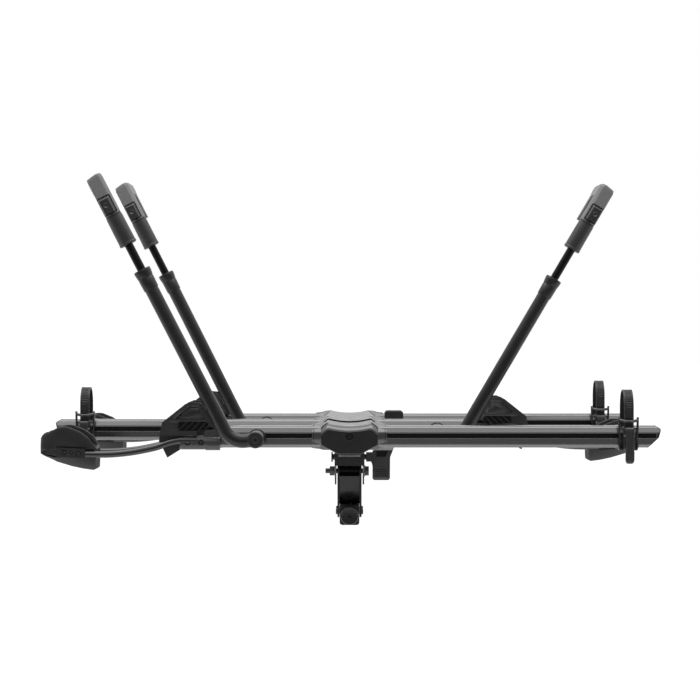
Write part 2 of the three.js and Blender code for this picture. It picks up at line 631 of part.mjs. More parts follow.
function releasePedal() {
  const shaft = turned('x', [[-46, 12.5], [-42, 12.5], [-42, 7], [44, 7]]);
  const arm = box(42, 68, -14, 11, -11, 12);
  const blade = prismX([[-14, 18], [-8, 24], [2, 24], [2, -50], [-2, -58], [-10, -58], [-14, -50]], 58, 113)
    .intersect(prismY([[58, -54], [62, -58], [98, -58], [102, -54], [102.5, 0], [112, 24], [64, 24], [58, 14]],
      -40, 40));
  return shaft.add(arm).add(blade).translate([0, PEDAL_Y, PEDAL_Z]);
}

// ---- hitch bar, knob and wedge -----------------------------------------------------------
function barOutline(h) {
  const c = 6;
  return [[-h, -h + c], [-h + c * 0.3, -h + c * 0.3], [-h + c, -h], [h - c, -h],
    [h - c * 0.3, -h + c * 0.3], [h, -h + c], [h, h - c], [h - c * 0.3, h - c * 0.3], [h - c, h],
    [-h + c, h], [-h + c * 0.3, h - c * 0.3], [-h, h - c]];
}

function hitchBar() {
  const h = BAR_HALF;
  const inner = h - BAR_WALL;
  return prismY(barOutline(h), SHANK_REAR_Y, BAR_FRONT_Y)
    .add(prismY(barOutline(h - SHANK_STEP), BAR_REAR_Y, SHANK_REAR_Y))
    .subtract(box(-inner, inner, BAR_REAR_Y + 6, BAR_FRONT_Y + 1, -inner, inner))
    .subtract(rod('x', -40, 40, PIN_HOLE_R))
    .subtract(box(-WEDGE_FOOT - 0.6, WEDGE_FOOT + 0.6, WEDGE_Y[0] - 1, WEDGE_Y[1] + 3, -h - 1, -inner + 1))
    .subtract(rod('y', BAR_REAR_Y - 1, BAR_REAR_Y + 8, DRAW_ROD_R + 0.4));
}

function camKnob() {
  return turned('y', [[BAR_REAR_Y - 24, 21.5], [BAR_REAR_Y - 21, 23.3], [BAR_REAR_Y - 4, 23.3],
    [BAR_REAR_Y - 1, 20], [BAR_REAR_Y - 1, DRAW_ROD_R], [WEDGE_Y[0] - 8, DRAW_ROD_R],
    [WEDGE_Y[0] - 8, 4.5], [WEDGE_Y[1] + 2, 4.5]], 24)
    .subtract(rod('y', BAR_REAR_Y - 25, BAR_REAR_Y - 20, 5, 12));
}

function camWedge() {
  const h = BAR_HALF - BAR_WALL - 1.4;
  const slope = [[WEDGE_Y[0] - 4, -h], [WEDGE_Y[1] + 2, -h], [WEDGE_Y[1] + 2, h - 8], [WEDGE_Y[0] - 4, h - 2]];
  return prismX(slope, -h + 1, h - 1)
    .add(box(-WEDGE_FOOT, WEDGE_FOOT, WEDGE_Y[0] + 2, WEDGE_Y[1] - 1, -BAR_HALF + 0.4, -h + 1))
    .subtract(rod('y', -90, 20, DRAW_ROD_R));
}

// ---- block on the rear tray --------------------------------------------------------------
function trayBlock() {
  const top = BEAM_Z + BEAM_HALF_HEIGHT + 8;
  const face = [[90, 226], [138, 226], [138, top - 5], [133, top], [95, top], [90, top - 5]];
  return prismY(face, -28, 28)
    .subtract(prismX(beamOutline(GAP), 80, 150))
    .translate([0, TRAY_Y[0], 0]);
}

add('front_cover', frontCover(), 'plastic');
add('rear_cover', rearCover(), 'plastic');
add('hub_end_cap', hubEndCap(), 'plastic');
add('spine_tube', spineTube(), 'powder_coat');
add('extension_tube', extensionTube(), 'powder_coat');
add('pivot_bracket', pivotBracket(), 'powder_coat');
add('lock_pin', lockPin(), 'zinc');
add('release_pedal', releasePedal(), 'plastic');
add('tongue', tongue(), 'powder_coat');
add('hitch_bar', hitchBar(), 'powder_coat');
add('tilt_bolt', tiltBolt(), 'zinc');
add('tilt_nut', tiltNut(), 'zinc');
add('cam_knob', camKnob(), 'plastic');
add('cam_wedge', camWedge(), 'casting');
add('tray_1_block', trayBlock(), 'plastic');

export default group;
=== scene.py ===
"""A three-tray bike rack for a hitch receiver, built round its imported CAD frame.

Shapes are drawn in millimetres and written in metres. X runs along the trays, Y towards the
vehicle, Z up.
"""

import json
import math

import bmesh
import bpy
from mathutils import Matrix, Vector


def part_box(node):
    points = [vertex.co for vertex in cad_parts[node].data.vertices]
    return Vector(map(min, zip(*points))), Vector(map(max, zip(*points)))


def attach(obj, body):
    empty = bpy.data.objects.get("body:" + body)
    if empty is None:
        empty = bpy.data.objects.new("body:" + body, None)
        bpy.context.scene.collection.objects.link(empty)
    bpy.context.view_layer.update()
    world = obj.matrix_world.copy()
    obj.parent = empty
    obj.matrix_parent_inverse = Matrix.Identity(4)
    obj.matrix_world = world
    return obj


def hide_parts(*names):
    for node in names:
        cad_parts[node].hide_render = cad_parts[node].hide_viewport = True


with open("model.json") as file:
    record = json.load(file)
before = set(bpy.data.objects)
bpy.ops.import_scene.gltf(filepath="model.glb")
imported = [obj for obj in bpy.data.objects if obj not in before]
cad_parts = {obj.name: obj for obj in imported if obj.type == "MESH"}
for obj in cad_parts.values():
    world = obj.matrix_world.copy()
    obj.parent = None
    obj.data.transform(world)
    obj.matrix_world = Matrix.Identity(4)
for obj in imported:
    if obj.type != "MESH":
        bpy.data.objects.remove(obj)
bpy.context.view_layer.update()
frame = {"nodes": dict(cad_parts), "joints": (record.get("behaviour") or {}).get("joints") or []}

MM = 0.001
JOINTS = {joint["name"]: joint for joint in frame["joints"]}


# ---- places read from the frame ---------------------------------------------------------
def box_mm(node):
    """A node's lowest and highest corners, in millimetres."""
    low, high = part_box(node)
    return low / MM, high / MM


def reach(node, origin, direction):
    """How far a node's vertices stretch along a direction from a point, in millimetres."""
    along = [(v.co / MM - origin).dot(direction) for v in frame["nodes"][node].data.vertices]
    return min(along), max(along)


class Tray:
    """The place of one tray. Its own X runs away from the wheel cradle, and its own Y is 0."""

    def __init__(self, number):
        self.number = number
        low, high = box_mm(self.node("cradle_rods"))
        self.side = 1 if low.x + high.x < 0 else -1
        low, high = box_mm(self.node("beam"))
        self.y = (low.y + high.y) / 2
        self.matrix = Matrix.Translation((0, self.y, 0)) @ Matrix.Diagonal((self.side, 1, 1, 1))

    def node(self, part):
        return f"tray_{self.number}_{part}"

    def box(self, part):
        """A part's corners in the tray's own coordinates."""
        corners = [self.matrix.inverted() @ corner for corner in box_mm(self.node(part))]
        low = Vector(map(min, *corners))
        high = Vector(map(max, *corners))
        return low, high


TRAYS = [Tray(number) for number in (1, 2, 3)]


# ---- mesh building ----------------------------------------------------------------------
def loft(rings):
    """A solid skinned over rings of points."""
    mesh = bmesh.new()
    rows = [[mesh.verts.new(point) for point in ring] for ring in rings]
    mesh.faces.new(rows[0])
    mesh.faces.new(rows[-1])
    count = len(rows[0])
    for near, far in zip(rows, rows[1:]):
        for i in range(count):
            j = (i + 1) % count
            mesh.faces.new((near[i], near[j], far[j], far[i]))
    bmesh.ops.recalc_face_normals(mesh, faces=mesh.faces)
    return mesh


def on_axis(axis, position, a, b):
    """A point from its place along an axis and its two other coordinates, in X, Y, Z order."""
    return {"x": (position, a, b), "y": (a, position, b), "z": (a, b, position)}[axis]


def extruded(outline, axis, start, end):
    return loft([[on_axis(axis, place, a, b) for a, b in outline] for place in (start, end)])


def slab(outline, *faces):
    """An (x, z) outline between two places along Y, in either order."""
    return extruded(outline, "y", *sorted(faces))


def block(x0, x1, y0, y1, z0, z1):
    return extruded([(y0, z0), (y1, z0), (y1, z1), (y0, z1)], "x", x0, x1)


def turned(profile, axis, centre=(0, 0), sides=40):
    """A round piece from (position, radius) pairs along an axis."""
    rings = []
    for position, radius in profile:
        rings.append([on_axis(axis, position, centre[0] + radius * math.cos(turn),
                              centre[1] + radius * math.sin(turn))
                      for turn in (2 * math.pi * i / sides for i in range(sides))])
    return loft(rings)


def tube(points, section):
    """A section of (across, up) pairs carried along a path without twisting."""
    points = [Vector(point) for point in points]
    count = len(points)
    rings = []
    across = None
    for i, point in enumerate(points):
        before = points[i - 1] if i else point
        after = points[i + 1] if i < count - 1 else point
        tangent = (after - before).normalized()
        if across is None:
            across = tangent.orthogonal().normalized()
            if abs(tangent.y) < 0.9:
                across = Vector((0, 1, 0))
        across = (across - tangent * across.dot(tangent)).normalized()
        up = tangent.cross(across)
        rings.append([point + across * a + up * b for a, b in section])
    return loft(rings)


def disc(radius, sides=28):
    turns = [2 * math.pi * i / sides for i in range(sides)]
    return [(radius * math.cos(turn), radius * math.sin(turn)) for turn in turns]


def arc(centre, radius, start, end, steps):
    turns = [math.radians(start + (end - start) * i / steps) for i in range(steps + 1)]
    return [(centre[0] + radius * math.cos(turn), centre[1] + radius * math.sin(turn))
            for turn in turns]


def rounded(corners, radius, steps=4):
    """An outline whose corners are rounded; a corner may carry its own radius."""
    outline = []
    for i, corner in enumerate(corners):
        here = Vector(corner[:2])
        own = corner[2] if len(corner) > 2 else radius
        back = Vector(corners[i - 1][:2]) - here
        ahead = Vector(corners[(i + 1) % len(corners)][:2]) - here
        own = min(own, back.length * 0.48, ahead.length * 0.48)
        if own < 0.05:
            outline.append(tuple(here))
            continue
        start = here + back.normalized() * own
        end = here + ahead.normalized() * own
        for k in range(steps + 1):
            t = k / steps
            point = start * (1 - t) ** 2 + here * 2 * t * (1 - t) + end * t ** 2
            outline.append(tuple(point))
    return outline


def smooth_path(points, steps=6):
    """A smooth curve through points."""
    points = [Vector(point) for point in points]
    ends = [points[0] * 2 - points[1], *points, points[-1] * 2 - points[-2]]
    path = []
    for a, b, c, d in zip(ends, ends[1:], ends[2:], ends[3:]):
        for k in range(steps):
            t = k / steps
            path.append(0.5 * (2 * b + (c - a) * t + (2 * a - 5 * b + 4 * c - d) * t ** 2
                               + (3 * b - a - 3 * c + d) * t ** 3))
    return [*path, points[-1]]


def along(table, place):
    """A value read off a list of (place, value) pairs with straight lines between them."""
    if place <= table[0][0]:
        return table[0][1]
    for (x0, v0), (x1, v1) in zip(table, table[1:]):
        if place <= x1:
            return v0 + (v1 - v0) * (place - x0) / (x1 - x0)
    return table[-1][1]


def joined(*meshes):
    whole = bmesh.new()
    for mesh in meshes:
        data = bpy.data.meshes.new("part")
        mesh.to_mesh(data)
        whole.from_mesh(data)
        bpy.data.meshes.remove(data)
    return whole


def moved(mesh, matrix):
    bmesh.ops.transform(mesh, matrix=matrix, verts=mesh.verts)
    bmesh.ops.recalc_face_normals(mesh, faces=mesh.faces)
    return mesh


def from_cad(node):
    """A clean copy of a CAD node's shape, in millimetres."""
    mesh = bmesh.new()
    mesh.from_mesh(frame["nodes"][node].data)
    bmesh.ops.scale(mesh, vec=(1 / MM,) * 3, verts=mesh.verts)
    bmesh.ops.remove_doubles(mesh, verts=mesh.verts, dist=0.01)
    bmesh.ops.dissolve_limit(mesh, angle_limit=math.radians(0.6), verts=mesh.verts,
                             edges=mesh.edges)
    return mesh


def to_object(name, mesh):
    data = bpy.data.meshes.new(name)
    for face in mesh.faces:
        face.smooth = True
    mesh.to_mesh(data)
    mesh.free()
    obj = bpy.data.objects.new(name, data)
    bpy.context.scene.collection.objects.link(obj)
    return obj


def carved(solid, *cutters):
    """A solid with other shapes cut out of it."""
    obj = to_object("solid", solid)
    for cutter in cutters:
        tool = to_object("cutter", cutter)
        cut = obj.modifiers.new("cut", "BOOLEAN")
        cut.object = tool
        cut.solver = "EXACT"
        graph = bpy.context.evaluated_depsgraph_get()
        data = bpy.data.meshes.new_from_object(obj.evaluated_get(graph))
        obj.modifiers.clear()
        obj.data = data
        bpy.data.objects.remove(tool)
    mesh = bmesh.new()
    mesh.from_mesh(obj.data)
    bmesh.ops.dissolve_limit(mesh, angle_limit=math.radians(0.6), verts=mesh.verts,
                             edges=mesh.edges)
    bpy.data.objects.remove(obj)
    return mesh


def piece(name, mesh, material, body, slot, stands_for=(), edge=0.8, matrix=None, angle=34):
    """A finished piece: its shape put in place, edges rounded, material and body set."""
    if matrix is not None:
        moved(mesh, matrix)
    bmesh.ops.scale(mesh, vec=(MM,) * 3, verts=mesh.verts)
    obj = to_object(name, mesh)
    obj.data.materials.append(material)
    if edge:
        bevel = obj.modifiers.new("edges", "BEVEL")
        bevel.width = edge * MM
        bevel.segments = 2
        bevel.limit_method = "ANGLE"
        bevel.angle_limit = math.radians(angle)
        bevel.use_clamp_overlap = True
        weighted = obj.modifiers.new("normals", "WEIGHTED_NORMAL")
        weighted.keep_sharp = True
    else:
        obj.data.set_sharp_from_angle(angle=math.radians(angle))
    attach(obj, body)
    if stands_for:
        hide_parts(*stands_for)
    return obj


def tray_piece(tray, name, mesh, material, body, slot, part=None, edge=0.8, **more):
    """A piece of one tray, numbered after it. Body names may ask for its number with #."""
    more.setdefault("matrix", tray.matrix)
    return piece(f"{name}_{tray.number}", mesh, material, body.replace("#", str(tray.number)),
                 slot, [tray.node(part)] if part else (), edge, **more)


# ---- materials --------------------------------------------------------------------------
def nodes_of(name):
    material = bpy.data.materials.new(name)
    material.use_nodes = True
    tree = material.node_tree
    shader = tree.nodes["Principled BSDF"]
    place = tree.nodes.new("ShaderNodeTexCoord")
    return material, tree, shader, place.outputs["Object"]


def stretched(tree, coordinates, scale):
    mapping = tree.nodes.new("ShaderNodeMapping")
    mapping.inputs["Scale"].default_value = scale
    tree.links.new(coordinates, mapping.inputs["Vector"])
    return mapping.outputs["Vector"]


def noise(tree, coordinates, scale, detail, roughness=0.55):
    texture = tree.nodes.new("ShaderNodeTexNoise")
    texture.inputs["Scale"].default_value = scale
    texture.inputs["Detail"].default_value = detail
    texture.inputs["Roughness"].default_value = roughness
    tree.links.new(coordinates, texture.inputs["Vector"])
    return texture.outputs["Fac"]


def ranged(tree, value, low, high, from_low=0.3, from_high=0.7):
    span = tree.nodes.new("ShaderNodeMapRange")
    for name, number in (("From Min", from_low), ("From Max", from_high),
                         ("To Min", low), ("To Max", high)):
        span.inputs[name].default_value = number
    tree.links.new(value, span.inputs["Value"])
    return span.outputs["Result"]


def mixed(tree, factor, low, high):
    mix = tree.nodes.new("ShaderNodeMix")
    mix.data_type = "RGBA"
    tree.links.new(factor, mix.inputs["Factor"])
    for socket, colour in ((mix.inputs["A"], low), (mix.inputs["B"], high)):
        if isinstance(colour, tuple):
            socket.default_value = (*colour, 1)
        else:
            tree.links.new(colour, socket)
    return mix.outputs["Result"]


def surface(name, grey, rough, metallic=0.0, specular=0.5, grain=900, grain_depth=0.05,
            lump=None, lump_depth=0.1, variation=0.14, wear=0.25, streaks=None, tint=0.02):
    """A finish: grained or pebbled, slightly uneven in colour and gloss, and paler on its edges.

    grain and lump are bumps, per metre; streaks stretches the colour variation along an axis.
    """
    material, tree, shader, coordinates = nodes_of(name)
    links = tree.links
    shader.inputs["Metallic"].default_value = metallic
    shader.inputs["Specular IOR Level"].default_value = specular
    body = (grey, grey, grey * (1 + tint))
    dark = tuple(value * (1 - variation) for value in body)
    pale = tuple(value * (1 + variation) for value in body)
    broad = noise(tree, stretched(tree, coordinates, streaks or (1, 1, 1)), 14, 5, 0.65)
    colour = mixed(tree, ranged(tree, broad, 0, 1), dark, pale)
    fine = noise(tree, coordinates, grain, 2)
    colour = mixed(tree, ranged(tree, fine, 0, 0.25, 0.45, 0.75), colour,
                   tuple(value * 1.25 + 0.001 for value in body))
    if wear:
        worn = tree.nodes.new("ShaderNodeNewGeometry").outputs["Pointiness"]
        edge = ranged(tree, worn, 0, wear, 0.52, 0.58)
        colour = mixed(tree, edge, colour, tuple(value * 2.2 + 0.02 for value in body))
    links.new(colour, shader.inputs["Base Color"])
    uneven = noise(tree, stretched(tree, coordinates, streaks or (1, 1, 1)), 45, 4)
    links.new(ranged(tree, uneven, rough - 0.06, rough + 0.08), shader.inputs["Roughness"])
    bump = tree.nodes.new("ShaderNodeBump")
    bump.inputs["Strength"].default_value = 0.5
    bump.inputs["Distance"].default_value = grain_depth * MM
    links.new(fine, bump.inputs["Height"])
    if lump:
        swell = tree.nodes.new("ShaderNodeBump")
        swell.inputs["Strength"].default_value = 0.5
        swell.inputs["Distance"].default_value = lump_depth * MM
        links.new(noise(tree, coordinates, lump, 1), swell.inputs["Height"])
        links.new(swell.outputs["Normal"], bump.inputs["Normal"])
    links.new(bump.outputs["Normal"], shader.inputs["Normal"])
    return material


ALONG_BEAM = (0.25, 22, 22)
ANODISED = surface("anodised_extrusion", 0.18, 0.2, metallic=1.0, grain=1400, grain_depth=0.006,
                   streaks=ALONG_BEAM, variation=0.08, wear=0.3)
# Near-black material for painted shade: strips, rings, plates and screw heads standing in for the
# shade in slots, gaps, wells and recesses.
PAINTED_SHADE = surface("slot_strip", 0.006, 0.6, specular=0.15, grain=900, grain_depth=0.03, wear=0.0)
CAP = surface("moulded_cap", 0.011, 0.32, specular=0.45, grain=1500, grain_depth=0.008)
COVER = surface("moulded_cover", 0.125, 0.3, metallic=0.9, grain=1300, grain_depth=0.015,
                variation=0.06, wear=0.1)
CASTING = surface("coated_casting", 0.022, 0.28, specular=0.9, lump=420, lump_depth=0.025,
                  grain=1800, grain_depth=0.01)
POWDER = surface("powder_coat", 0.008, 0.3, specular=0.45, lump=650, lump_depth=0.02,
                 grain=2200, grain_depth=0.006, wear=0.3)
ROD = surface("gloss_powder_coat", 0.004, 0.1, specular=0.9, lump=650, lump_depth=0.01,
              grain=2200, grain_depth=0.004, wear=0.2)
STEEL = surface("frame_powder_coat", 0.011, 0.3, specular=0.45, lump=600, lump_depth=0.012,
                grain=2200, grain_depth=0.008, wear=0.35)
CHOCK = surface("grained_chock", 0.013, 0.33, specular=0.6, grain=1200, grain_depth=0.012)
ZINC = surface("black_zinc", 0.045, 0.33, metallic=0.7, grain=2600, grain_depth=0.01, wear=0.5)
SLIDER = surface("black_slider", 0.003, 0.3, specular=0.2, grain=1800, grain_depth=0.005,
                 wear=0.0)
HOOK = surface("hook_rubber", 0.2, 0.6, specular=0.3, grain=1700, grain_depth=0.004,
               variation=0.04, wear=0.05)
GRIP = surface("grip_rubber", 0.022, 0.4, specular=0.65, grain=1500, grain_depth=0.008,
               wear=0.1)
STRAP = surface("strap_rubber", 0.011, 0.4, specular=0.45, grain=1500, grain_depth=0.015)
NYLON = surface("buckle_nylon", 0.018, 0.32, specular=0.7, grain=1600, grain_depth=0.008)


# ---- beams and their end caps -----------------------------------------------------------
def beam_section():
    """The extrusion's outline: sloped shoulders, a T-slot along each side, a lower chamfer."""
    right = [(10.5, 25, 2.2), (18, 22.2, 2.5), (23, 9.8, 1.4), (23, 7.8, 0.6),
            (20.4, 7.4, 0.4), (20.4, 10.2, 0.3), (14.6, 10.2, 0.6), (14.6, -5.4, 0.6),
            (20.4, -5.4, 0.3), (20.4, -2.8, 0.4), (23, -3.2, 0.6), (23, -16.9, 0.5),
            (22.2, -17.5, 0.1), (23, -18.1, 0.4), (18.6, -25, 1.6)]
    left = [(-y, z, r) for y, z, r in reversed(right)]
    return rounded([*right, *left], 0.5, 3)


TIP_EDGE = ((-29.6, -25), (-5, -2), (0, 16), (-3, 20), (-12, 25))
TIP_PLATE = 2.2


def beyond_tip(far, tip, centre_z):
    """A cutter from the cap's inner face out to x = far: all on one side of the slanted end."""
    edge = [(tip - TIP_PLATE + x, centre_z + z) for x, z in TIP_EDGE]
    bottom, top = edge[0], edge[-1]
    outline = [(far, bottom[1] - 10), (bottom[0], bottom[1] - 10), *edge,
               (top[0], top[1] + 10), (far, top[1] + 10)]
    return extruded(outline, "y", -40, 40)


for tray in TRAYS:
    low, high = tray.box("beam")
    tip = tray.box("end_cap")[1].x
    centre_z = (low.z + high.z) / 2
    section = [(y, z + centre_z) for y, z in beam_section()]
    start = low.x + 22
    beam = carved(extruded(section, "x", start, tip), beyond_tip(tip + 40, tip, centre_z))
    tray_piece(tray, "beam", beam, ANODISED, "rack", "beam_metal", "beam", 0.35, angle=60)
    # Painted shade: a near-black strip in each T-slot stands in for the slot's shade.
    slot_shade_strips = [block(start, tip - 11, side * 17.3 - 2.5, side * 17.3 + 2.5, centre_z - 5.2,
                    centre_z + 10) for side in (-1, 1)]
    tray_piece(tray, "beam_strip", joined(*slot_shade_strips), PAINTED_SHADE, "rack", "beam_metal", edge=0.3)
    cap = moved(from_cad(tray.node("end_cap")), tray.matrix.inverted())
    cap = carved(cap, beyond_tip(tip - 90, tip, centre_z))
    tray_piece(tray, "end_cap", cap, CAP, "rack", "cap_plastic", "end_cap", 0.4)


# ---- wheel cradles ----------------------------------------------------------------------
def hex_socket(axis, face, centre, radius, depth, outward):
    """The six-sided hole in a screw's head, as a cutter."""
    inner = face - outward * depth
    return turned([(inner, radius), (face + outward * 2, radius)], axis, centre, 6)


def screw(face, centre, radius, rise, outward=-1):
    """A socket screw standing on a face that looks along Y."""
    top = face + outward * rise
    head = turned([(face - outward * 2, radius), (top - outward * 0.7, radius),
                   (top, radius - 0.7)], "y", centre, 28)
    return carved(head, hex_socket("y", top, centre, radius * 0.48, rise + 1.2, outward))


def sunk_screw(face, centre, radius, outward):
    """A screw in a ringed recess: the recess as a cutter, and the screw itself."""
    bottom = face - outward * 2.6
    well = turned([(bottom, radius + 1.5), (face + outward * 4, radius + 1.9)], "y", centre, 28)
    return well, screw(bottom, centre, radius, 2.0, outward)


def shadow_ring(face, centre, radius, outward):
    """A painted shadow: a near-black ring round a sunk screw, standing in for the shade in its
    well.
    """
    x, z = centre
    loop = [(x + (radius + 1.1) * math.cos(math.radians(a)),
             face - outward * 0.5, z + (radius + 1.1) * math.sin(math.radians(a)))
            for a in range(0, 361, 15)]
    return tube(loop, disc(1.0, 8))


CAD_ROD_RADIUS = 6.5
TURN_REACH = 34                      # how far the rod's outer turn stands out
TURN_START = CAD_ROD_RADIUS + TURN_REACH


def rod_route(tray):
    """The bent rod: along one side, round the outer end and back along the other."""
    low, high = tray.box("cradle_rods")
    side = high.y - CAD_ROD_RADIUS
    half = [(high.x + 2, 224), (high.x - 22, 224), (high.x - 42, 224), (-412, 219), (-439, 209.5),
            (-470, 202.5), (-502, 197), (-546, 193), (-600, 193), (low.x + TURN_START, 196)]
    near = [Vector((x, -side, z)) for x, z in half]
    turn = [Vector((low.x + TURN_START + TURN_REACH * x, side * y, 197))
            for x, y in arc((0, 0), 1, 250, 110, 6)]
    far = [Vector((x, side, z)) for x, z in reversed(half)]
    return smooth_path([*near, *turn, *far], 5)


ROD_RADIUS = 7.6                     # a little thicker than the CAD rod, as in the photo
CLAMP_Y, CLAMP_Z = 46, 219           # the centre of each clamping barrel on the sleeve
CLAMP_FACE = CLAMP_Y + 11
SLEEVE_SCREWS = (16, 47)             # along the sleeve, from its outer end
SLEEVE_SCREW_R = 4.6
LUG = ((-332, 226), (-332, 249, 9), (-296, 249, 3), (-296, 226))
LUG_FACE = 52


def cradle_sleeve(tray):
    """The casting that clamps both rods to the beam, with a domed nose over the beam's end."""
    low, high = tray.box("cradle_sleeve")
    parts = []
    for side in (-1, 1):
        clamp = [(y * 11.2 + side * CLAMP_Y, z * 15.2 + CLAMP_Z) for y, z in disc(1, 32)]
        ring = [(y * 12 + side * (CLAMP_Y - 1), z * 16.4 + CLAMP_Z - 0.6) for y, z in disc(1, 32)]
        barrel = loft([[(x, y, z) for y, z in clamp] for x in (low.x, high.x - 28)])
        screws = [sunk_screw(side * CLAMP_FACE, (low.x + x, CLAMP_Z + 1.5), SLEEVE_SCREW_R,
                             side) for x in SLEEVE_SCREWS]
        parts.append(carved(barrel, joined(*(well for well, _ in screws))))
        parts += [head for _, head in screws]
        parts.append(loft([[(x, y, z) for y, z in ring] for x in (high.x - 33, high.x)]))
        parts.append(slab(rounded(LUG, 2), side * (LUG_FACE - 5), side * LUG_FACE))
    web = rounded([(-44, 206), (44, 206), (44, 228), (30, 232), (-30, 232), (-44, 228)], 3)
    parts.append(extruded(web, "x", low.x + 10, high.x - 2))
    nose_start = tray.box("beam")[0].x + 24
    nose = []
    for step in range(9):
        turn = math.radians(90 * step / 8)
        x = nose_start - 26 * math.sin(turn)
        rise = max(0.04, math.cos(turn))
        width = 23.4 * (0.55 + 0.45 * rise)
        nose.append([(x, y, z) for y, z in rounded(
            [(-width, 228), (width, 228), (width, 230 + 11 * rise), (width * 0.62, 230 + 27 * rise),
             (-width * 0.62, 230 + 27 * rise), (-width, 230 + 11 * rise)], 5)])
    parts.append(loft(nose))
    return joined(*parts)


OUTER_TOP = ((0, -33), (1, -29), (3, -24.5), (7, -20), (44, -1), (54, 0), (64, -0.5), (90, -11),
             (109, -24), (124, -45), (127, -53))
OUTER_BOTTOM = ((0, -60), (3, -62.5), (39, -80), (72, -90), (100, -96), (123, -99), (127, -96))
KNEE_Z = 203
LEDGE_Z = 187
CHOCK_MARGIN = 6                     # from the CAD chock's side to the trough's side
BOSS_STANDS = 5.5                    # from the trough's side to the boss's face


def falling(levels, bottom):
    """Heights made to fall one after another without passing the bottom."""
    ordered = [levels[0]]
    for i, level in enumerate(levels[1:], 1):
        least = bottom + 0.2 * (len(levels) - i)
        ordered.append(max(min(level, ordered[-1] - 0.2), least))
    return ordered


def chock_half(low, high, place):
    """Half the width of the outer chock at a place along it."""
    nose = min(1, 0.74 + 0.26 * math.sqrt(min(1, place / 26)))
    return ((high.y - low.y) / 2 - CHOCK_MARGIN) * nose * (1 - 0.04 * max(0, (place - 110) / 17))


WHEEL_X, WHEEL_Z, WHEEL_R = -520, 570, 370


def chock_section(low, high, place):
    """The trough's section: leaning sides, a tucked-in neck, a ledge and a hull below it."""
    x = low.x + place
    top = high.z + along(OUTER_TOP, place)
    bottom = high.z + along(OUTER_BOTTOM, place)
    floor = WHEEL_Z - math.sqrt(WHEEL_R ** 2 - (x - WHEEL_X) ** 2)
    floor = max(min(floor, top - 0.6), bottom + 6)
    w = chock_half(low, high, place)
    neck = 0.97 - 0.09 * min(1, place / 38)
    widths = (0.93, 0.95, 0.985, 0.99, neck, neck, 1.0, 0.985, 0.94, 0.87, 0.8)
    heights = falling([top, top - 6, (top + KNEE_Z) / 2, KNEE_Z + 2, KNEE_Z - 1, LEDGE_Z + 4,
                       LEDGE_Z, LEDGE_Z - 3, bottom + 12, bottom + 4, bottom + 0.6], bottom)
    side = list(zip(widths, heights))
    outline = [(-w * a, z) for a, z in side] + [(0, bottom)]
    outline += [(w * a, z) for a, z in reversed(side)]
    well = [(w * 0.93 - 4, top - 0.3), (w * 0.93 - 6, floor + 0.6 * (top - floor)),
            (w - 9, floor + 5), (w * 0.55, floor + 0.8)]
    return outline + well + [(0, floor)] + [(-y, z) for y, z in reversed(well)]


FAIRING_NOSE = 14
CHOCK_STATIONS = (0.4, 1.2, 3, 8, 16, 27, 39, 51, 62, 73, 84, 94, 102, 109, 117, 122, 125, 126.5)


def outer_chock(tray):
    """A boat-shaped trough with rolled rims, and a boss on each side where the rod is bolted."""
    low, high = tray.box("outer_chock")
    half = (high.y - low.y) / 2 - CHOCK_MARGIN
    parts = [loft([[(low.x + place, y, z) for y, z in chock_section(low, high, place)]
                   for place in CHOCK_STATIONS])]
    for side in (-1, 1):
        rim = [(low.x + place, side * (chock_half(low, high, place) * 0.93 - 1.4),
                high.z + along(OUTER_TOP, place) - 0.8) for place in range(2, 126, 4)]
        parts.append(tube(smooth_path(rim, 2), disc(2.1, 12)))
        boss = rounded([(low.x + 38, 188), (low.x + 40, 209), (low.x + 104, 206),
                        (low.x + 104, 184)], 3.5)
        boss = slab(boss, side * (half - 10), side * (half + BOSS_STANDS))
        screws = [sunk_screw(side * (half + BOSS_STANDS), (low.x + x, z), r, side)[0]
                  for x, z, r in BOSS_SCREWS]
        parts.append(carved(boss, joined(*screws)))
        skin = chock_half(low, high, FAIRING_NOSE)
        stations = ((FAIRING_NOSE, skin - 8, skin - 0.8, 193, 203),
                    (44, half - 8, half + 5.2, 188.8, 207.6))
        parts.append(loft([[(low.x + place, side * y, z) for y, z in
                            rounded([(a, c), (b, c), (b, d), (a, d)], 2)]
                           for place, a, b, c, d in stations]))
    return joined(*parts)


BOSS_SCREWS = ((57, 198, 3.9), (73, 196.5, 2.1), (88.5, 195, 3.9))


def screw_rings(tray):
    """Painted shade: near-black rings and screw heads in the sunk screws' wells, a near-black tube
    along the groove over each boss, a near-black plate over the trough's end.
    """
    low, high = tray.box("cradle_sleeve")
    # Painted shadow rings round the sleeve's sunk screws.
    rings = [shadow_ring(side * CLAMP_FACE, (low.x + x, CLAMP_Z + 1.5), SLEEVE_SCREW_R, side)
             for side in (-1, 1) for x in SLEEVE_SCREWS]
    low, high = tray.box("outer_chock")
    face = (high.y - low.y) / 2 - CHOCK_MARGIN + BOSS_STANDS
    for side in (-1, 1):
        # Painted shade: a near-black ring and screw head in each boss screw's well.
        for x, z, r in BOSS_SCREWS:
            rings.append(shadow_ring(side * face, (low.x + x, z), r, side))
            rings.append(sunk_screw(side * face, (low.x + x, z), r, side)[1])
        # Painted shade: a near-black tube along the groove over each boss.
        groove_shade = [(low.x + x, side * (face - 5.2), z) for x, z in ((38, 210.6), (105, 208))]
        rings.append(tube(groove_shade, disc(1.6, 8)))
    # Painted shade: a near-black plate just proud of the trough's end face, for the shade inside
    # it.
    end = chock_section(low, high, CHOCK_STATIONS[-1])
    rings.append(loft([[(low.x + place, y * 0.985, z - 0.2) for y, z in end]
                       for place in (CHOCK_STATIONS[-1] - 1, CHOCK_STATIONS[-1] + 0.3)]))
    return joined(*rings)


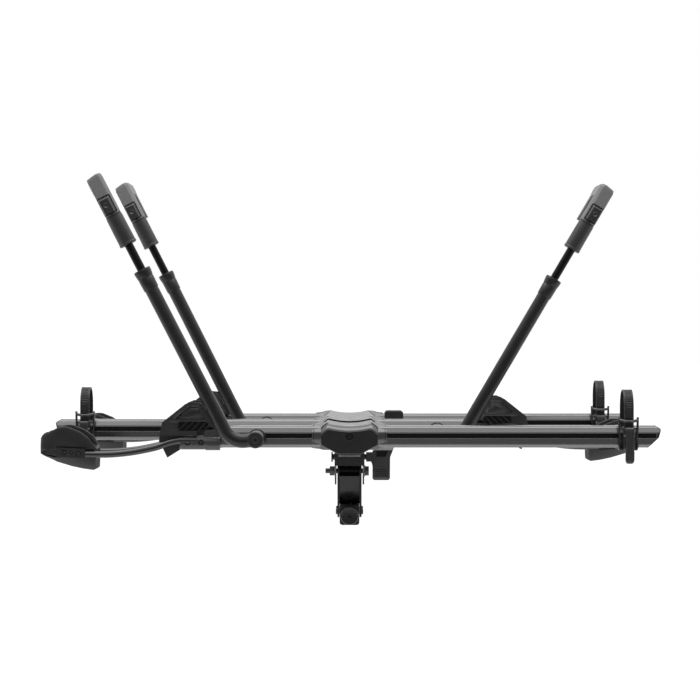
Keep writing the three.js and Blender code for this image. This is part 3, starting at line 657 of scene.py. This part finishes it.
SCOOP = ((-400, 275), (-334, 275), (-344, 302), (-366, 302))
EDGE_WEB = ((-350, 309), (-336, 309), (-302, 255), (-316, 255))
SHELF = ((-408, 269.4), (-330, 269.4), (-326, 271), (-330, 272.6), (-408, 272.6))
RECESS_FLOOR = ((-390, 267.4), (-328, 267.4), (-322, 262), (-334, 248), (-392, 248))
RECESS = ((-409, 268.6), (-326, 268.6), (-319, 262), (-333, 246.5), (-404, 246.5))


def scoop(outline, deepest, face, side, depth):
    """A tapered cutter: a wide mouth at the face and a smaller floor."""
    middle = Vector(deepest)
    rings = []
    for place, size in ((face + side * 2, 1.06), (face, 1.0), (face - side * depth, 0.72)):
        outer = [middle + (Vector(corner) - middle) * size for corner in outline]
        rings.append([(x, place, z) for x, z in rounded([tuple(c) for c in outer], 4)])
    return loft(rings)


def inner_chock(tray):
    """The chock on the hub side: a curved skin over scooped sides."""
    body = moved(from_cad(tray.node("inner_chock")), tray.matrix.inverted())
    cutters = []
    for side in (-1, 1):
        face = side * tray.box("inner_chock")[1].y
        cutters.append(scoop(SCOOP, (-340, 284), face, side, 4.5))
        cutters.append(scoop(RECESS, (-335, 258), face, side, 6.5))
    return carved(body, *cutters)


def chock_recess(tray):
    """Painted shade: a near-black floor in each scooped side, standing in for its shade, with
    slanting ribs over it.
    """
    recess_shade_floors = []
    ribs = []
    for side in (-1, 1):
        face = side * tray.box("inner_chock")[1].y
        # Painted shade: a near-black plate at the bottom of each recess.
        recess_shade_floors.append(slab(RECESS_FLOOR, face - side * 6.6, face - side * 4.6))
        for x in (-391, -376, -361, -346):
            ribs.append(slab([(x, 248), (x + 3, 248), (x + 22, 267.2), (x + 19, 267.2)],
                             face - side * 5.4, face - side * 2.6))
        ribs.append(slab(SHELF, face - side * 4, face + side * 2.2))
        ribs.append(slab(EDGE_WEB, face - side * 4, face - side * 0.7))
    return joined(*recess_shade_floors), joined(*ribs)


for tray in TRAYS:
    recess_shade_floors, ribs = chock_recess(tray)
    for name, mesh, material, slot, edge in (
            ("cradle_rods", tube(rod_route(tray), disc(ROD_RADIUS, 28)), ROD, "coated_steel", 0),
            ("cradle_sleeve", cradle_sleeve(tray), CASTING, "cast_metal", 0.9),
            ("outer_chock", outer_chock(tray), CHOCK, "chock_plastic", 0.7),
            ("inner_chock", inner_chock(tray), CHOCK, "chock_plastic", 0)):
        tray_piece(tray, name, mesh, material, "rack", slot, name, edge)
    # Painted shade in the near-black material: the screws' wells, the boss grooves and the trough's
    # end.
    tray_piece(tray, "screw_rings", screw_rings(tray), PAINTED_SHADE, "rack", "cast_metal", edge=0)
    # Painted shade: the recess floors in the near-black material.
    tray_piece(tray, "chock_recess", recess_shade_floors, PAINTED_SHADE, "rack", "chock_plastic", edge=0)
    tray_piece(tray, "chock_ribs", ribs, CHOCK, "rack", "chock_plastic", edge=0.3)


# ---- arms -------------------------------------------------------------------------------
class Arm:
    """The place of one arm: U runs across it towards the hub, V towards the vehicle, S along it."""

    def __init__(self, tray):
        n = tray.number
        self.pivot = Vector(JOINTS[f"arm_{n}_swing"]["pos_m"]) / MM
        self.s = Vector(JOINTS[f"arm_{n}_reach"]["axis"]).normalized()
        self.v = Vector((0, 1, 0))
        self.u = Vector((tray.side * abs(self.s.z), 0, abs(self.s.x)))
        low, high = box_mm(tray.node("arm_rod"))
        centre = (low + high) / 2 - self.pivot
        self.offset = centre.dot(self.u)
        self.matrix = self.basis(self.pivot, self.u, self.v)
        press = Vector(JOINTS[f"hook_{n}_button"]["axis"]).normalized()
        across = self.u - press * self.u.dot(press)
        axis_start = self.pivot + self.u * self.offset
        self.rod_matrix = self.basis(axis_start, across.normalized(), press)
        self.collar = reach(tray.node("arm_collar"), self.pivot, self.s)
        self.rod = reach(tray.node("arm_rod"), axis_start, self.s)
        self.hook = reach(tray.node("hook"), axis_start, self.s)

    def basis(self, origin, u, v):
        matrix = Matrix((u, v, self.s)).transposed().to_4x4()
        matrix.translation = origin
        return matrix


def arm_tube(arm):
    """The bent tube, the barrel at its foot and the flange ring that bears on the beam."""
    top = arm.collar[1] - 12
    corners = [Vector((0, 0, 0)), Vector((arm.offset, 0, 19.2)), Vector((arm.offset, 0, top))]
    into = (corners[1] - corners[0]).normalized()
    out = (corners[2] - corners[1]).normalized()
    turn = into.angle(out)
    radius = 48
    back = radius * math.tan(turn / 2)
    start = corners[1] - into * back
    normal = (out - into * out.dot(into)).normalized()
    centre = start + normal * radius
    bend = [centre - normal * radius * math.cos(turn * k / 16)
            + into * radius * math.sin(turn * k / 16) for k in range(17)]
    path = [corners[0], *bend, corners[1] + out * 120, corners[2]]
    barrel = turned([(-16.4, 17.6), (-16, 18.2), (-15, 18.8), (50, 18.8), (51.6, 18.4), (52, 17.8),
                     (53.4, 17.8), (53.6, 20.4), (55, 21.3), (64.6, 21.3), (66.2, 20.2)], "y",
                    sides=56)
    return joined(tube(path, disc(15.9, 40)), barrel)


def arm_bolt():
    """The pivot bolt's broad cap, with a six-sided socket and a small notch at its rim."""
    cap = turned([(-16.9, 18.3), (-19.8, 18.8), (-21.6, 18.5), (-22.6, 17.5), (-22.6, 16.4),
                  (-21.9, 15.6), (-21.9, 8.2), (-22.4, 7.6), (-22.6, 7.0)], "y", sides=56)
    socket = hex_socket("y", -22.6, (0, 0), 3.6, 4, -1)
    notch = turned([(-24, 2.1), (-19, 2.1)], "y", (-4.8, -17.2), 16)
    return carved(cap, socket, notch)


def arm_collar(arm):
    """The moulded collar over the tube's mouth, with a stepped lip."""
    bottom, top = arm.collar
    return turned([(bottom, 16.4), (bottom + 0.6, 17.2), (bottom + 1.4, 17.5), (bottom + 27, 18.1),
                   (bottom + 28, 17.6), (bottom + 29.4, 17.6), (bottom + 30.4, 18.4),
                   (top - 7, 19.8), (top - 2, 19.8), (top - 0.5, 19.2), (top, 18.2),
                   (top, 12), (top - 1.2, 11)], "z", (arm.offset, 0), 48)


HEAD_LENGTH = 96
LEG_BACK = 152.2


def hook_head(arm):
    """The padded hook: a near plate, a bridge over the tyre and a far leg, with a thumb pocket."""
    top = arm.hook[1]
    foot = top - HEAD_LENGTH
    w = 18.5
    near = rounded([(-w, -12.5, 4), (-w + 1.5, -17, 2.5), (10.6, -17, 2.5), (w, -8.5, 4),
                    (w, 15.5, 5), (-w, 15.5, 5)], 3)
    rows = []
    for rise, inset in ((foot - 2.5, 1.4), (foot - 1, 0.3), (foot + 6, 0), (top - 12, 0),
                        (top - 7, 0.6), (top - 3.4, 2.4), (top - 1.1, 5.2), (top, 8.8)):
        rows.append([(u * (1 - inset / w), v * (1 - inset * 0.5 / 17) + inset * 0.1,
                      min(rise + (u * 0.12 if rise > top - 12 else 0), top)) for u, v in near])
    plate = loft(rows)
    side = rounded([(4, top - 1, 3), (4, top - 33, 4), (30, top - 31, 12),
                    (LEG_BACK - 38, top - 31, 10), (LEG_BACK - 30, top - 42, 10),
                    (LEG_BACK - 27, foot + 12, 4),
                    (LEG_BACK - 22, foot + 3, 6), (LEG_BACK - 1, foot + 4, 8),
                    (LEG_BACK, top - 14, 14), (LEG_BACK - 13, top, 10)], 8, 6)
    body = extruded([(v, s) for v, s in side], "x", -w + 2.5, w - 2.5)
    swell = extruded([(v, s) for v, s in rounded([(6, top - 2, 4), (6, top - 30, 4),
                                                  (LEG_BACK - 34, top - 30, 9),
                                                  (LEG_BACK - 12, top - 16, 12),
                                                  (LEG_BACK - 18, top - 2, 8)], 6)],
                     "x", -w + 0.4, w - 0.4)
    pocket = extruded(rounded([(-w - 3, foot - 0.5), (13.2, foot - 0.5, 3),
                               (13.2, foot + 43.5, 3.5), (-w - 3, foot + 43.5)], 0.4),
                      "y", -30, -7.5)
    plate = carved(plate, pocket)
    return joined(plate, body, swell)


def hook_grip(arm):
    """The round rubber grip under the head, with a rolled lip below and two rings above."""
    start = arm.hook[0]
    end = arm.hook[1] - HEAD_LENGTH
    bore = 10.2
    return turned([(start + 2, bore), (start + 0.2, bore + 1), (start, 18.2), (start + 0.8, 19.9),
                   (start + 2.6, 20.6), (start + 5.2, 20.4), (start + 6, 19.7), (start + 7, 19.8),
                   (end - 9, 19.3), (end - 7.6, 19.2), (end - 6.8, 18.1), (end - 5.6, 18.1),
                   (end - 5, 19), (end - 3.4, 19), (end - 2.8, 17.8), (end, 17.2)],
                  "z", sides=56)


def hook_button(arm):
    """The thumb button: bevelled along its top and hub side, with a round dimple."""
    foot = arm.hook[1] - HEAD_LENGTH
    u0, u1, s0, s1 = -17.0, 10.4, foot + 1.2, foot + 41.2
    rings = []
    for depth, inset in ((-13.2, 0.0), (-15.2, 0.0), (-16.4, 0.6), (-20.4, 4.8), (-21.0, 5.8)):
        left = u0 + min(inset, 1.2)
        right = u1 - inset * 0.95
        outline = rounded([(left, s0 + min(inset, 1.2)), (right, s0 + min(inset, 1.2)),
                           (right, s1 - inset), (left, s1 - inset)], 1.6, 3)
        rings.append([(u, depth, s) for u, s in outline])
    body = loft(rings)
    middle = ((u0 + u1) / 2 - 1.5, (s0 + s1) / 2 + 1)
    bowl = []
    for step in range(8):
        turn = math.radians(12 + 78 * step / 7)
        bowl.append((-21 + 2.6 - 16 * (1 - math.cos(turn)) * 0.42, 7.6 * math.sin(turn)))
    dimple = turned([(place, radius) for place, radius in bowl] + [(-26, 7.6)], "y", middle, 32)
    return carved(body, dimple)


for tray in TRAYS:
    arm = Arm(tray)
    on_arm = {"matrix": arm.matrix, "angle": 40}
    on_rod = {"matrix": arm.rod_matrix, "angle": 40}
    tray_piece(tray, "arm_tube", arm_tube(arm), POWDER, "arm_#", "coated_steel", "arm_tube", 0,
               **on_arm)
    tray_piece(tray, "arm_bolt", arm_bolt(), ZINC, "rack", "black_zinc", "arm_bolt", 0.3,
               **on_arm)
    tray_piece(tray, "arm_collar", arm_collar(arm), CAP, "arm_#", "cap_plastic", "arm_collar", 0,
               **on_arm)
    slider = turned([(arm.rod[0], 8.6), (arm.rod[0] + 1.2, 9.8), (arm.rod[1] - 1.2, 9.8),
                     (arm.rod[1], 8.6)], "z", sides=36)
    tray_piece(tray, "arm_rod", slider, SLIDER, "hook_#", "black_zinc", "arm_rod", 0, **on_rod)
    tray_piece(tray, "hook_head", hook_head(arm), HOOK, "hook_#", "hook_rubber", "hook", 1.0,
               matrix=arm.rod_matrix)
    tray_piece(tray, "hook_grip", hook_grip(arm), GRIP, "hook_#", "hook_rubber", edge=0,
               **on_rod)
    tray_piece(tray, "hook_button", hook_button(arm), NYLON, "button_#", "cap_plastic",
               "hook_button", 0.5, matrix=arm.rod_matrix)


# ---- straps, saddles and buckles --------------------------------------------------------
def strap_loop(tray):
    """The ladder strap: a loop of raised rungs between two rails."""
    low, high = tray.box("wheel_strap")
    x = (low.x + high.x) / 2
    half = (high.y - low.y) / 2
    crown = high.z - half
    legs = 40
    path = [(-half, low.z + (crown - low.z) * k / legs) for k in range(legs)]
    path += [(half * math.cos(math.radians(180 - 2 * k)),
              crown + half * math.sin(math.radians(2 * k))) for k in range(91)]
    path += [(half, crown - (crown - low.z) * k / legs) for k in range(1, legs + 1)]
    rings = []
    for k, (y, z) in enumerate(path):
        back = Vector(path[max(k - 1, 0)])
        ahead = Vector(path[min(k + 1, len(path) - 1)])
        tangent = (ahead - back).normalized()
        out = Vector((-tangent.y, tangent.x))
        rung = 0.0 if (k // 2) % 2 else 0.9
        inner = 0.0 if (k // 3) % 2 else 0.25
        ring = []
        for across, depth in ((-10.9, 0.5), (-10.4, 0), (-7.2, 0), (-6.8, 1.3 - rung),
                              (6.8, 1.3 - rung), (7.2, 0), (10.4, 0), (10.9, 0.5), (10.9, 2.9),
                              (10.4, 3.4), (7.4, 3.4 - inner), (-7.4, 3.4 - inner), (-10.4, 3.4),
                              (-10.9, 2.9)):
            ring.append((x + across, y - out.x * depth, z - out.y * depth))
        rings.append(ring)
    return loft(rings)


def strap_saddle(tray):
    """The frame that hugs the beam: two thin posts with horns, a sagging bar, a buckle housing."""
    low, high = tray.box("strap_saddle")
    x = (low.x + high.x) / 2
    half = (high.x - low.x) / 2
    z1 = high.z
    face = -23.4
    parts = []
    sag = [(-half + 2.4, z1 - 3), (-half + 4, z1 - 7), (-half + 8, z1 - 8.6), (0, z1 - 10.6),
           (half - 8, z1 - 8.6), (half - 4, z1 - 7), (half - 2.4, z1 - 3)]
    bar = smooth_path([(x + a, -31 - 17 * (1 - (a / half) ** 2), z) for a, z in sag], 4)
    parts.append(tube(bar, rounded([(-3.4, -2.3), (3.4, -2.3), (3.4, 2.3), (-3.4, 2.3)], 1.6)))
    for side in (-1, 1):
        post = [(x + side * (half - 2.6), z1 - 1), (x + side * (half - 2.8), z1 - 12),
                (x + side * (half - 3.4), z1 - 34), (x + side * (half - 5.4), z1 - 50),
                (x + side * (half - 3.2), z1 - 64), (x + side * (half - 5), z1 - 75)]
        post = smooth_path([(a, -30.5, z) for a, z in post], 5)
        parts.append(tube(post, rounded([(-4.6, -2.3), (4.6, -2.3), (4.6, 2.3), (-4.6, 2.3)], 1.2)))
        for k in range(7):
            tooth_z = z1 - 40 - 4.6 * k
            edge = x + side * (half - 7.6)
            x0, x1 = sorted((edge - side * 3.4, edge))
            parts.append(block(x0, x1, -33.5, -27, tooth_z - 1.2, tooth_z + 1.2))
    housing = extruded(rounded([(face, 204, 1), (-49.5, 204, 3), (-51.5, 212, 2), (-51.5, 233, 3),
                                (-46.5, 238, 2), (-46.5, 253, 3), (-42, 256, 2),
                                (face, 256, 1)], 1), "x", x - 12.5, x + 12.5)
    way = block(x - 11.4, x + 11.4, -42.5, -38, 222, 300)
    parts.append(carved(housing, way))
    base = rounded([(-30, 200.5), (46, 200.5), (46, 255.5), (23.6, 255.5), (23.6, 206),
                    (-30, 206)], 2)
    shell = extruded(base, "x", x - half + 3, x + half - 3)
    hollow = block(x - 11.4, x + 11.4, 38, 42.6, 221, 300)
    parts.append(carved(shell, hollow))
    return joined(*parts)


def buckle_lever(tray):
    """The long release lever: waisted, rounded at its foot, with a raised rim and grip bars."""
    low, high = tray.box("buckle_lever")
    x = (low.x + high.x) / 2
    outer, inner = low.y, high.y
    rings = []
    for z, width, front, back in (
            (low.z, 5.0, 4.4, 6.4), (low.z + 1.6, 7.8, 2.4, 7.4), (low.z + 5, 9.6, 1.0, 8.0),
            (low.z + 10, 10.2, 0.6, 8.0), (low.z + 26, 10.2, 0.1, 6.0), (low.z + 34, 9.0, 0.1, 6.0),
            (low.z + 42, 8.4, 0.6, 6.0), (low.z + 56, 9.6, 0.0, 6.0), (high.z - 12, 10.2, 0.0, 6.0),
            (high.z - 6, 10.2, 0.4, 9.4), (high.z - 2, 9.8, 1.6, 9.2),
            (high.z - 0.4, 8.8, 3.6, 7.6)):
        rings.append([(x + a, y, z) for a, y in rounded(
            [(-width, outer + front), (width, outer + front), (width, min(outer + back, inner)),
             (-width, min(outer + back, inner))], 1.8, 3)])
    bars = [block(x - 6, x + 6, outer - 0.2, outer + 1.4, z, z + 1.6)
            for z in (low.z + 9 + 3.6 * k for k in range(4))]
    return joined(loft(rings), *bars)


for tray in TRAYS:
    tray_piece(tray, "wheel_strap", strap_loop(tray), STRAP, "strap_#", "strap_rubber",
               "wheel_strap", 0, angle=30)
    tray_piece(tray, "strap_saddle", strap_saddle(tray), NYLON, "strap_#", "buckle_plastic",
               "strap_saddle", 0.4)
    tray_piece(tray, "buckle_lever", buckle_lever(tray), NYLON, "lever_#", "buckle_plastic",
               "buckle_lever", 0.4)


# ---- hub --------------------------------------------------------------------------------
def cover_section(top, bottom, drop=0.0):
    """The hub cover's outline: a dished top between two crests, sloped flanks, narrow foot."""
    dish = [(x, top - 6.6 + 6.6 * (x / 49.5) ** 2) for x in (0, 10, 20, 30, 40, 46)]
    crest = [*dish, (49.5, top - 0.2), (53, top - 1.8), (61, top - 8), (64, top - 11.5),
             (65, top - 15)]
    right = [(x, z - drop) for x, z in crest]
    right += [(65, bottom + 21.5), (63.6, bottom + 19), (28, bottom + 0.8), (24, bottom)]
    left = [(-x, z) for x, z in reversed(right[1:])]
    return [*right, *left]


COVER_FOOT = 193.4
COVER_CREST = 0.5                    # the crest lies this far under the node's top
BEAM_TOP = 256.5
BEAM_FOOT = 206.5
COLLAR_SHAPE = ((86.5, 1.6), (86, 2.6), (82.6, 2.8), (82.2, 1.9), (81.4, 1.9), (81, 3.2),
                (69, 4.6), (67, 5.4), (60, 7.6), (46, 7.8))


def collar(y, side):
    """The sleeve of a cover round a beam: steep shoulders, a flat cheek, a deep lower bevel."""
    rings = []
    for x, grow in COLLAR_SHAPE:
        lift = BEAM_TOP + grow * 0.96
        half = [(8 + grow * 0.5, lift, 3), (23 + grow, 241.5, 3), (23 + grow, 225, 5),
                (14 + grow * 0.6, BEAM_FOOT - grow * 0.75, 5)]
        ring = [(y + a, z, r) for a, z, r in half] + [(y - a, z, r) for a, z, r in reversed(half)]
        rings.append([(side * x, a, z) for a, z in rounded(ring, 3, 4)])
    return loft(rings)


def hub_cover(node, ys, front_rim):
    """A cover over the spine, with a collar where each beam passes."""
    low, high = box_mm(node)
    top, bottom = high.z - COVER_CREST, COVER_FOOT
    if front_rim:
        stations = [(low.y, 12.6), (low.y + 1.5, 10.2), (low.y + 5, 6.6), (low.y + 11, 3.4),
                    (low.y + 18, 1.7), (low.y + 24, 1.2), (high.y - 9, 1.2), (high.y - 7.5, 4.4),
                    (high.y, 5)]
    else:
        stations = [(low.y, -1.5), (low.y + 1, -2), (low.y + 14, -2), (low.y + 60, 0),
                    (high.y - 4, 0), (high.y - 1, 0.8), (high.y, 2.4)]
    shell = loft([[(x, y, z) for x, z in cover_section(top, bottom, drop)]
                  for y, drop in stations])
    return joined(shell, *(collar(y, side) for y in ys for side in (-1, 1)))


SCREW_Z = 234
COVER_JOINT = -751.5                 # where the front and rear covers meet, along Y
# Where painted shade lines run down the covers' flanks, along Y.
FLANK_SHADE_LINES = (-742, -367, -926)


def cover_seams(split_y, flank_ys):
    """Painted shade: a near-black strip across the covers' top at their joint, near-black lines
    down their flanks, a near-black block in the gap below and a painted shadow ring round the end
    cap's screw.
    """
    top = box_mm("rear_cover")[1].z - COVER_CREST
    crown = [(x, z) for x, z in cover_section(top, COVER_FOOT) if z > 248]
    crown.sort()
    shade_lines = [loft([[(x * 0.99, y, z - depth) for y, depth in
                    ((split_y - 0.8, 5.5), (split_y + 0.8, 5.5), (split_y + 0.8, -1.6),
                     (split_y - 0.8, -1.6))] for x, z in crown])]
    for y in flank_ys:
        for side in (-1, 1):
            flank = [(side * x, y, z) for x, z in crown if x > 46]
            shade_lines.append(tube(flank, disc(0.9, 8)))
    # Painted shade in the gap below.
    shade_lines.append(block(-26, 26, -907, -903, 188.4, 194))
    cap_face = box_mm("hub_end_cap")[0].y
    # Painted shadow round the end cap's screw.
    shade_lines.append(shadow_ring(cap_face, (0, SCREW_Z), 6.6, -1))
    return joined(*shade_lines)


piece("rear_cover_shape", hub_cover("rear_cover", [tray.y for tray in TRAYS[:2]], False), COVER,
      "rack", "cover_plastic", ["rear_cover"], edge=0.6)
piece("front_cover_shape", hub_cover("front_cover", [TRAYS[2].y], True), COVER,
      "rack", "cover_plastic", ["front_cover"], edge=0.6)
# Painted shade over the covers' joint, flanks and gap, in the near-black material.
piece("cover_seams", cover_seams(COVER_JOINT, FLANK_SHADE_LINES), PAINTED_SHADE, "rack", "cover_plastic",
      edge=0)


def hub_end_cap():
    """The plate that closes the hub's near end, with one screw in a ringed recess."""
    low, high = box_mm("hub_end_cap")
    rings = []
    for y, inset in ((low.y, 3.0), (low.y + 0.8, 1.2), (low.y + 2.4, 0.2), (high.y + 0.2, 0.0)):
        dish = [(x, high.z - 5.7 + 5.7 * (x / 49) ** 2 - inset) for x in (0, 12, 24, 36, 44)]
        right = [*dish, (48.5, high.z - 0.5 - inset), (51.5, high.z - 1.8 - inset),
                 (64 - inset, high.z - 12.5), (65 - inset, high.z - 15.5),
                 (65 - inset, 215.5 + inset * 0.4), (63.5 - inset, 213 + inset * 0.5),
                 (28, 193.8 + inset), (25, 193 + inset)]
        left = [(-x, z) for x, z in reversed(right[1:])]
        rings.append([(x, y, z) for x, z in [*right, *left]])
    centre = (0, SCREW_Z)
    well = turned([(low.y - 3, 9.6), (low.y + 3.6, 9.2)], "y", centre, 40)
    plate = carved(loft(rings), well)
    lip = turned([(low.y + 4, 9.9), (low.y - 0.4, 9.9), (low.y - 0.7, 9.2), (low.y - 0.3, 8.6),
                  (low.y + 4, 8.5)], "y", centre, 40)
    return joined(plate, lip, screw(low.y + 3.2, centre, 6.2, 1.8))


piece("hub_end_cap", hub_end_cap(), CAP, "rack", "cap_plastic", ["hub_end_cap"], edge=0.5)

piece("tray_block", from_cad("tray_1_block"), CAP, "rack", "cap_plastic", ["tray_1_block"],
      edge=2.4)


# ---- tongue, bar and what is on them ----------------------------------------------------
for name, material, body, slot, edge in (
        ("spine_tube", STEEL, "rack", "frame_steel", 1.6),
        ("extension_tube", STEEL, "rack", "frame_steel", 1.6),
        ("pivot_bracket", STEEL, "rack", "frame_steel", 0.8),
        ("tongue", STEEL, "base", "frame_steel", 0.8),
        ("hitch_bar", STEEL, "base", "frame_steel", 0.8),
        ("tilt_bolt", ZINC, "base", "black_zinc", 0.5),
        ("tilt_nut", ZINC, "base", "black_zinc", 0.6),
        ("lock_pin", ZINC, "pin", "black_zinc", 0.5),
        ("cam_wedge", CASTING, "wedge", "cast_metal", 0.6)):
    piece(f"{name}_shape", from_cad(name), material, body, slot, [name], edge=edge)

tongue_low, tongue_high = box_mm("tongue")
feet = []
for side in (-1, 1):
    for y in (tongue_low.y + 22, tongue_high.y - 22):
        x0 = side * tongue_high.x
        head = turned([(x0 - side * 0.5, 7.6), (x0 + side * 3.2, 7.6), (x0 + side * 4.2, 6.6)],
                      "x", (y, 8), 6)
        feet.append(head)
piece("tongue_bolts", joined(*feet), ZINC, "base", "black_zinc", edge=0.5)


def cam_knob():
    """The hand knob on the bar's end: fluted round its rim, dished, with a small recess."""
    low, high = box_mm("cam_knob")
    radius = high.z
    rings = []
    for y, scale in ((low.y + 3, 0.3), (low.y + 1.8, 0.8), (low.y, 0.9), (low.y + 1.2, 0.975),
                     (low.y + 3, 0.998), (low.y + 18.6, 0.998), (low.y + 21.5, 0.93),
                     (low.y + 22.6, 0.8)):
        ring = []
        for i in range(96):
            turn = 2 * math.pi * i / 96
            flute = 0.5 if 2 < (i % 8) < 6 and 0.95 < scale else 0
            r = radius * scale - flute
            ring.append((r * math.cos(turn), y, r * math.sin(turn)))
        rings.append(ring)
    knob = carved(loft(rings), turned([(low.y - 2, 4.6), (low.y + 7, 4.4)], "y", (0, 0), 6))
    shaft = turned([(low.y + 20, 6), (low.y + 300, 6)], "y")
    end = turned([(low.y + 300, 4.5), (high.y - 1, 4.5), (high.y, 3.6)], "y")
    return joined(knob, shaft, end)


piece("cam_knob_shape", cam_knob(), CAP, "knob", "cap_plastic", ["cam_knob"], edge=0.4)


PEDAL_LEFT, PEDAL_RIGHT = 61.5, 99
PEDAL_PIVOT = Vector(JOINTS["release_pedal_press"]["pos_m"]) / MM
PEDAL_FACE = PEDAL_PIVOT.y - 14
PEDAL_FOOT = box_mm("release_pedal")[0].z
PEDAL_INSET = ((67.5, 152.5), (90, 152.5), (98, 168), (67.5, 168))
CORNER_X, CORNER_Z, CORNER_R = 57, 145.4, 14


def release_pedal():
    """The foot pedal: a paddle with side rims and an inset panel, on a cross shaft."""
    body = carved(from_cad("release_pedal"),
                  extruded(rounded(PEDAL_INSET, 2), "y", PEDAL_FACE - 6, PEDAL_FACE + 2.4))
    parts = [body]
    for x in (PEDAL_LEFT - 1.6, PEDAL_RIGHT + 0.4):
        rim = [(x, PEDAL_FOOT + 4), (x + 1.8, PEDAL_FOOT + 4), (x + 1.8, PEDAL_PIVOT.z - 6),
               (x, PEDAL_PIVOT.z - 6)]
        parts.append(extruded(rounded(rim, 0.8), "y", PEDAL_FACE - 1.5, PEDAL_FACE + 2))
    centre = (CORNER_X - CORNER_R, CORNER_Z - CORNER_R)
    fillet = [*arc(centre, CORNER_R, 90, 0, 8), (CORNER_X + 2, CORNER_Z - CORNER_R),
              (CORNER_X + 2, CORNER_Z + 2), (CORNER_X - CORNER_R, CORNER_Z + 2)]
    parts.append(extruded(fillet, "y", PEDAL_FACE + 1, PEDAL_FACE + 9))
    return joined(*parts)


def pedal_grooves():
    """Painted shade: a near-black floor in the pedal's panel and near-black bars for the grip
    grooves across its foot.
    """
    left, right = PEDAL_LEFT + 3, PEDAL_RIGHT - 3
    panel = extruded(rounded(PEDAL_INSET, 2), "y", PEDAL_FACE + 1.3, PEDAL_FACE + 2.6)
    bars = [block(left, right, PEDAL_FACE - 0.25, PEDAL_FACE + 2, z, z + 1.8)
            for z in (PEDAL_FOOT + 10 + 5.2 * k for k in range(4))]
    return joined(panel, *bars)


piece("release_pedal_shape", release_pedal(), NYLON, "pedal", "cap_plastic", ["release_pedal"],
      edge=1.0)
# Painted shade in the pedal's panel and grooves, in the near-black material.
piece("pedal_grooves", pedal_grooves(), PAINTED_SHADE, "pedal", "cap_plastic", edge=0.3)


# ---- floor, light and camera ------------------------------------------------------------
def floor_material():
    """A pale surface lit well enough to read as white all over."""
    material, tree, shader, coordinates = nodes_of("pale_floor")
    cloud = noise(tree, coordinates, 0.8, 2)
    colour = mixed(tree, ranged(tree, cloud, 0, 1), (0.6, 0.6, 0.6), (0.62, 0.62, 0.62))
    tree.links.new(colour, shader.inputs["Base Color"])
    tree.links.new(colour, shader.inputs["Emission Color"])
    shader.inputs["Emission Strength"].default_value = 0.9
    shader.inputs["Roughness"].default_value = 0.9
    shader.inputs["Specular IOR Level"].default_value = 0.0
    return material


floor = to_object("floor", block(-9000, 9000, -2500, 40000, -610, -600))
floor.data.transform(Matrix.Scale(MM, 4))
floor.data.materials.append(floor_material())


def studio_world():
    """A white surround with a dark band at eye level on the camera's side."""
    world = bpy.data.worlds.new("studio")
    bpy.context.scene.world = world
    world.use_nodes = True
    tree = world.node_tree
    back = tree.nodes["Background"]
    place = tree.nodes.new("ShaderNodeTexCoord")
    split = tree.nodes.new("ShaderNodeSeparateXYZ")
    tree.links.new(place.outputs["Generated"], split.inputs["Vector"])
    ahead = ranged(tree, split.outputs["Y"], 1.0, 0.0, -0.45, -0.05)
    level = ranged(tree, split.outputs["Z"], 1.0, 0.0, 0.32, 0.62)
    dark = tree.nodes.new("ShaderNodeMath")
    dark.operation = "MULTIPLY"
    tree.links.new(ahead, dark.inputs[0])
    tree.links.new(level, dark.inputs[1])
    shade = mixed(tree, dark.outputs[0], (1.0, 1.0, 1.0), (0.24, 0.24, 0.24))
    tree.links.new(shade, back.inputs["Color"])
    plain = tree.nodes.new("ShaderNodeBackground")
    plain.inputs["Color"].default_value = (1, 1, 1, 1)
    path = tree.nodes.new("ShaderNodeLightPath")
    choose = tree.nodes.new("ShaderNodeMixShader")
    tree.links.new(path.outputs["Is Camera Ray"], choose.inputs["Fac"])
    tree.links.new(back.outputs["Background"], choose.inputs[1])
    tree.links.new(plain.outputs["Background"], choose.inputs[2])
    tree.links.new(choose.outputs["Shader"], tree.nodes["World Output"].inputs["Surface"])


studio_world()


def softbox(name, place, target, size, power):
    light = bpy.data.lights.new(name, "AREA")
    light.shape = "RECTANGLE"
    light.size, light.size_y = size
    light.energy = power
    obj = bpy.data.objects.new(name, light)
    bpy.context.scene.collection.objects.link(obj)
    obj.location = place
    obj.rotation_euler = (Vector(target) - Vector(place)).to_track_quat("-Z", "Y").to_euler()


softbox("top_box", (0, -0.7, 3.0), (0, -0.6, 0), (4.0, 2.0), 60)

CAMERA_DISTANCE = 5.9
CAMERA_HEIGHT = 0.5152
FRAME_PIXELS = 700
FOCAL_PIXELS = 2174
SENSOR = 36.0
LOOK_DOWN = 37                       # how far the view is turned down, in the same pixels
camera_data = bpy.data.cameras.new("camera")
camera_data.sensor_width = SENSOR
camera_data.lens = FOCAL_PIXELS * SENSOR / FRAME_PIXELS
camera_data.shift_x = 0.5 / FRAME_PIXELS
camera_data.clip_end = 200
camera = bpy.data.objects.new("camera", camera_data)
bpy.context.scene.collection.objects.link(camera)
camera.location = (0, -CAMERA_DISTANCE, CAMERA_HEIGHT)
camera.rotation_euler = (math.radians(90) - math.atan(LOOK_DOWN / FOCAL_PIXELS), 0, 0)
bpy.context.scene.camera = camera
bpy.context.scene.view_settings.view_transform = "Standard"
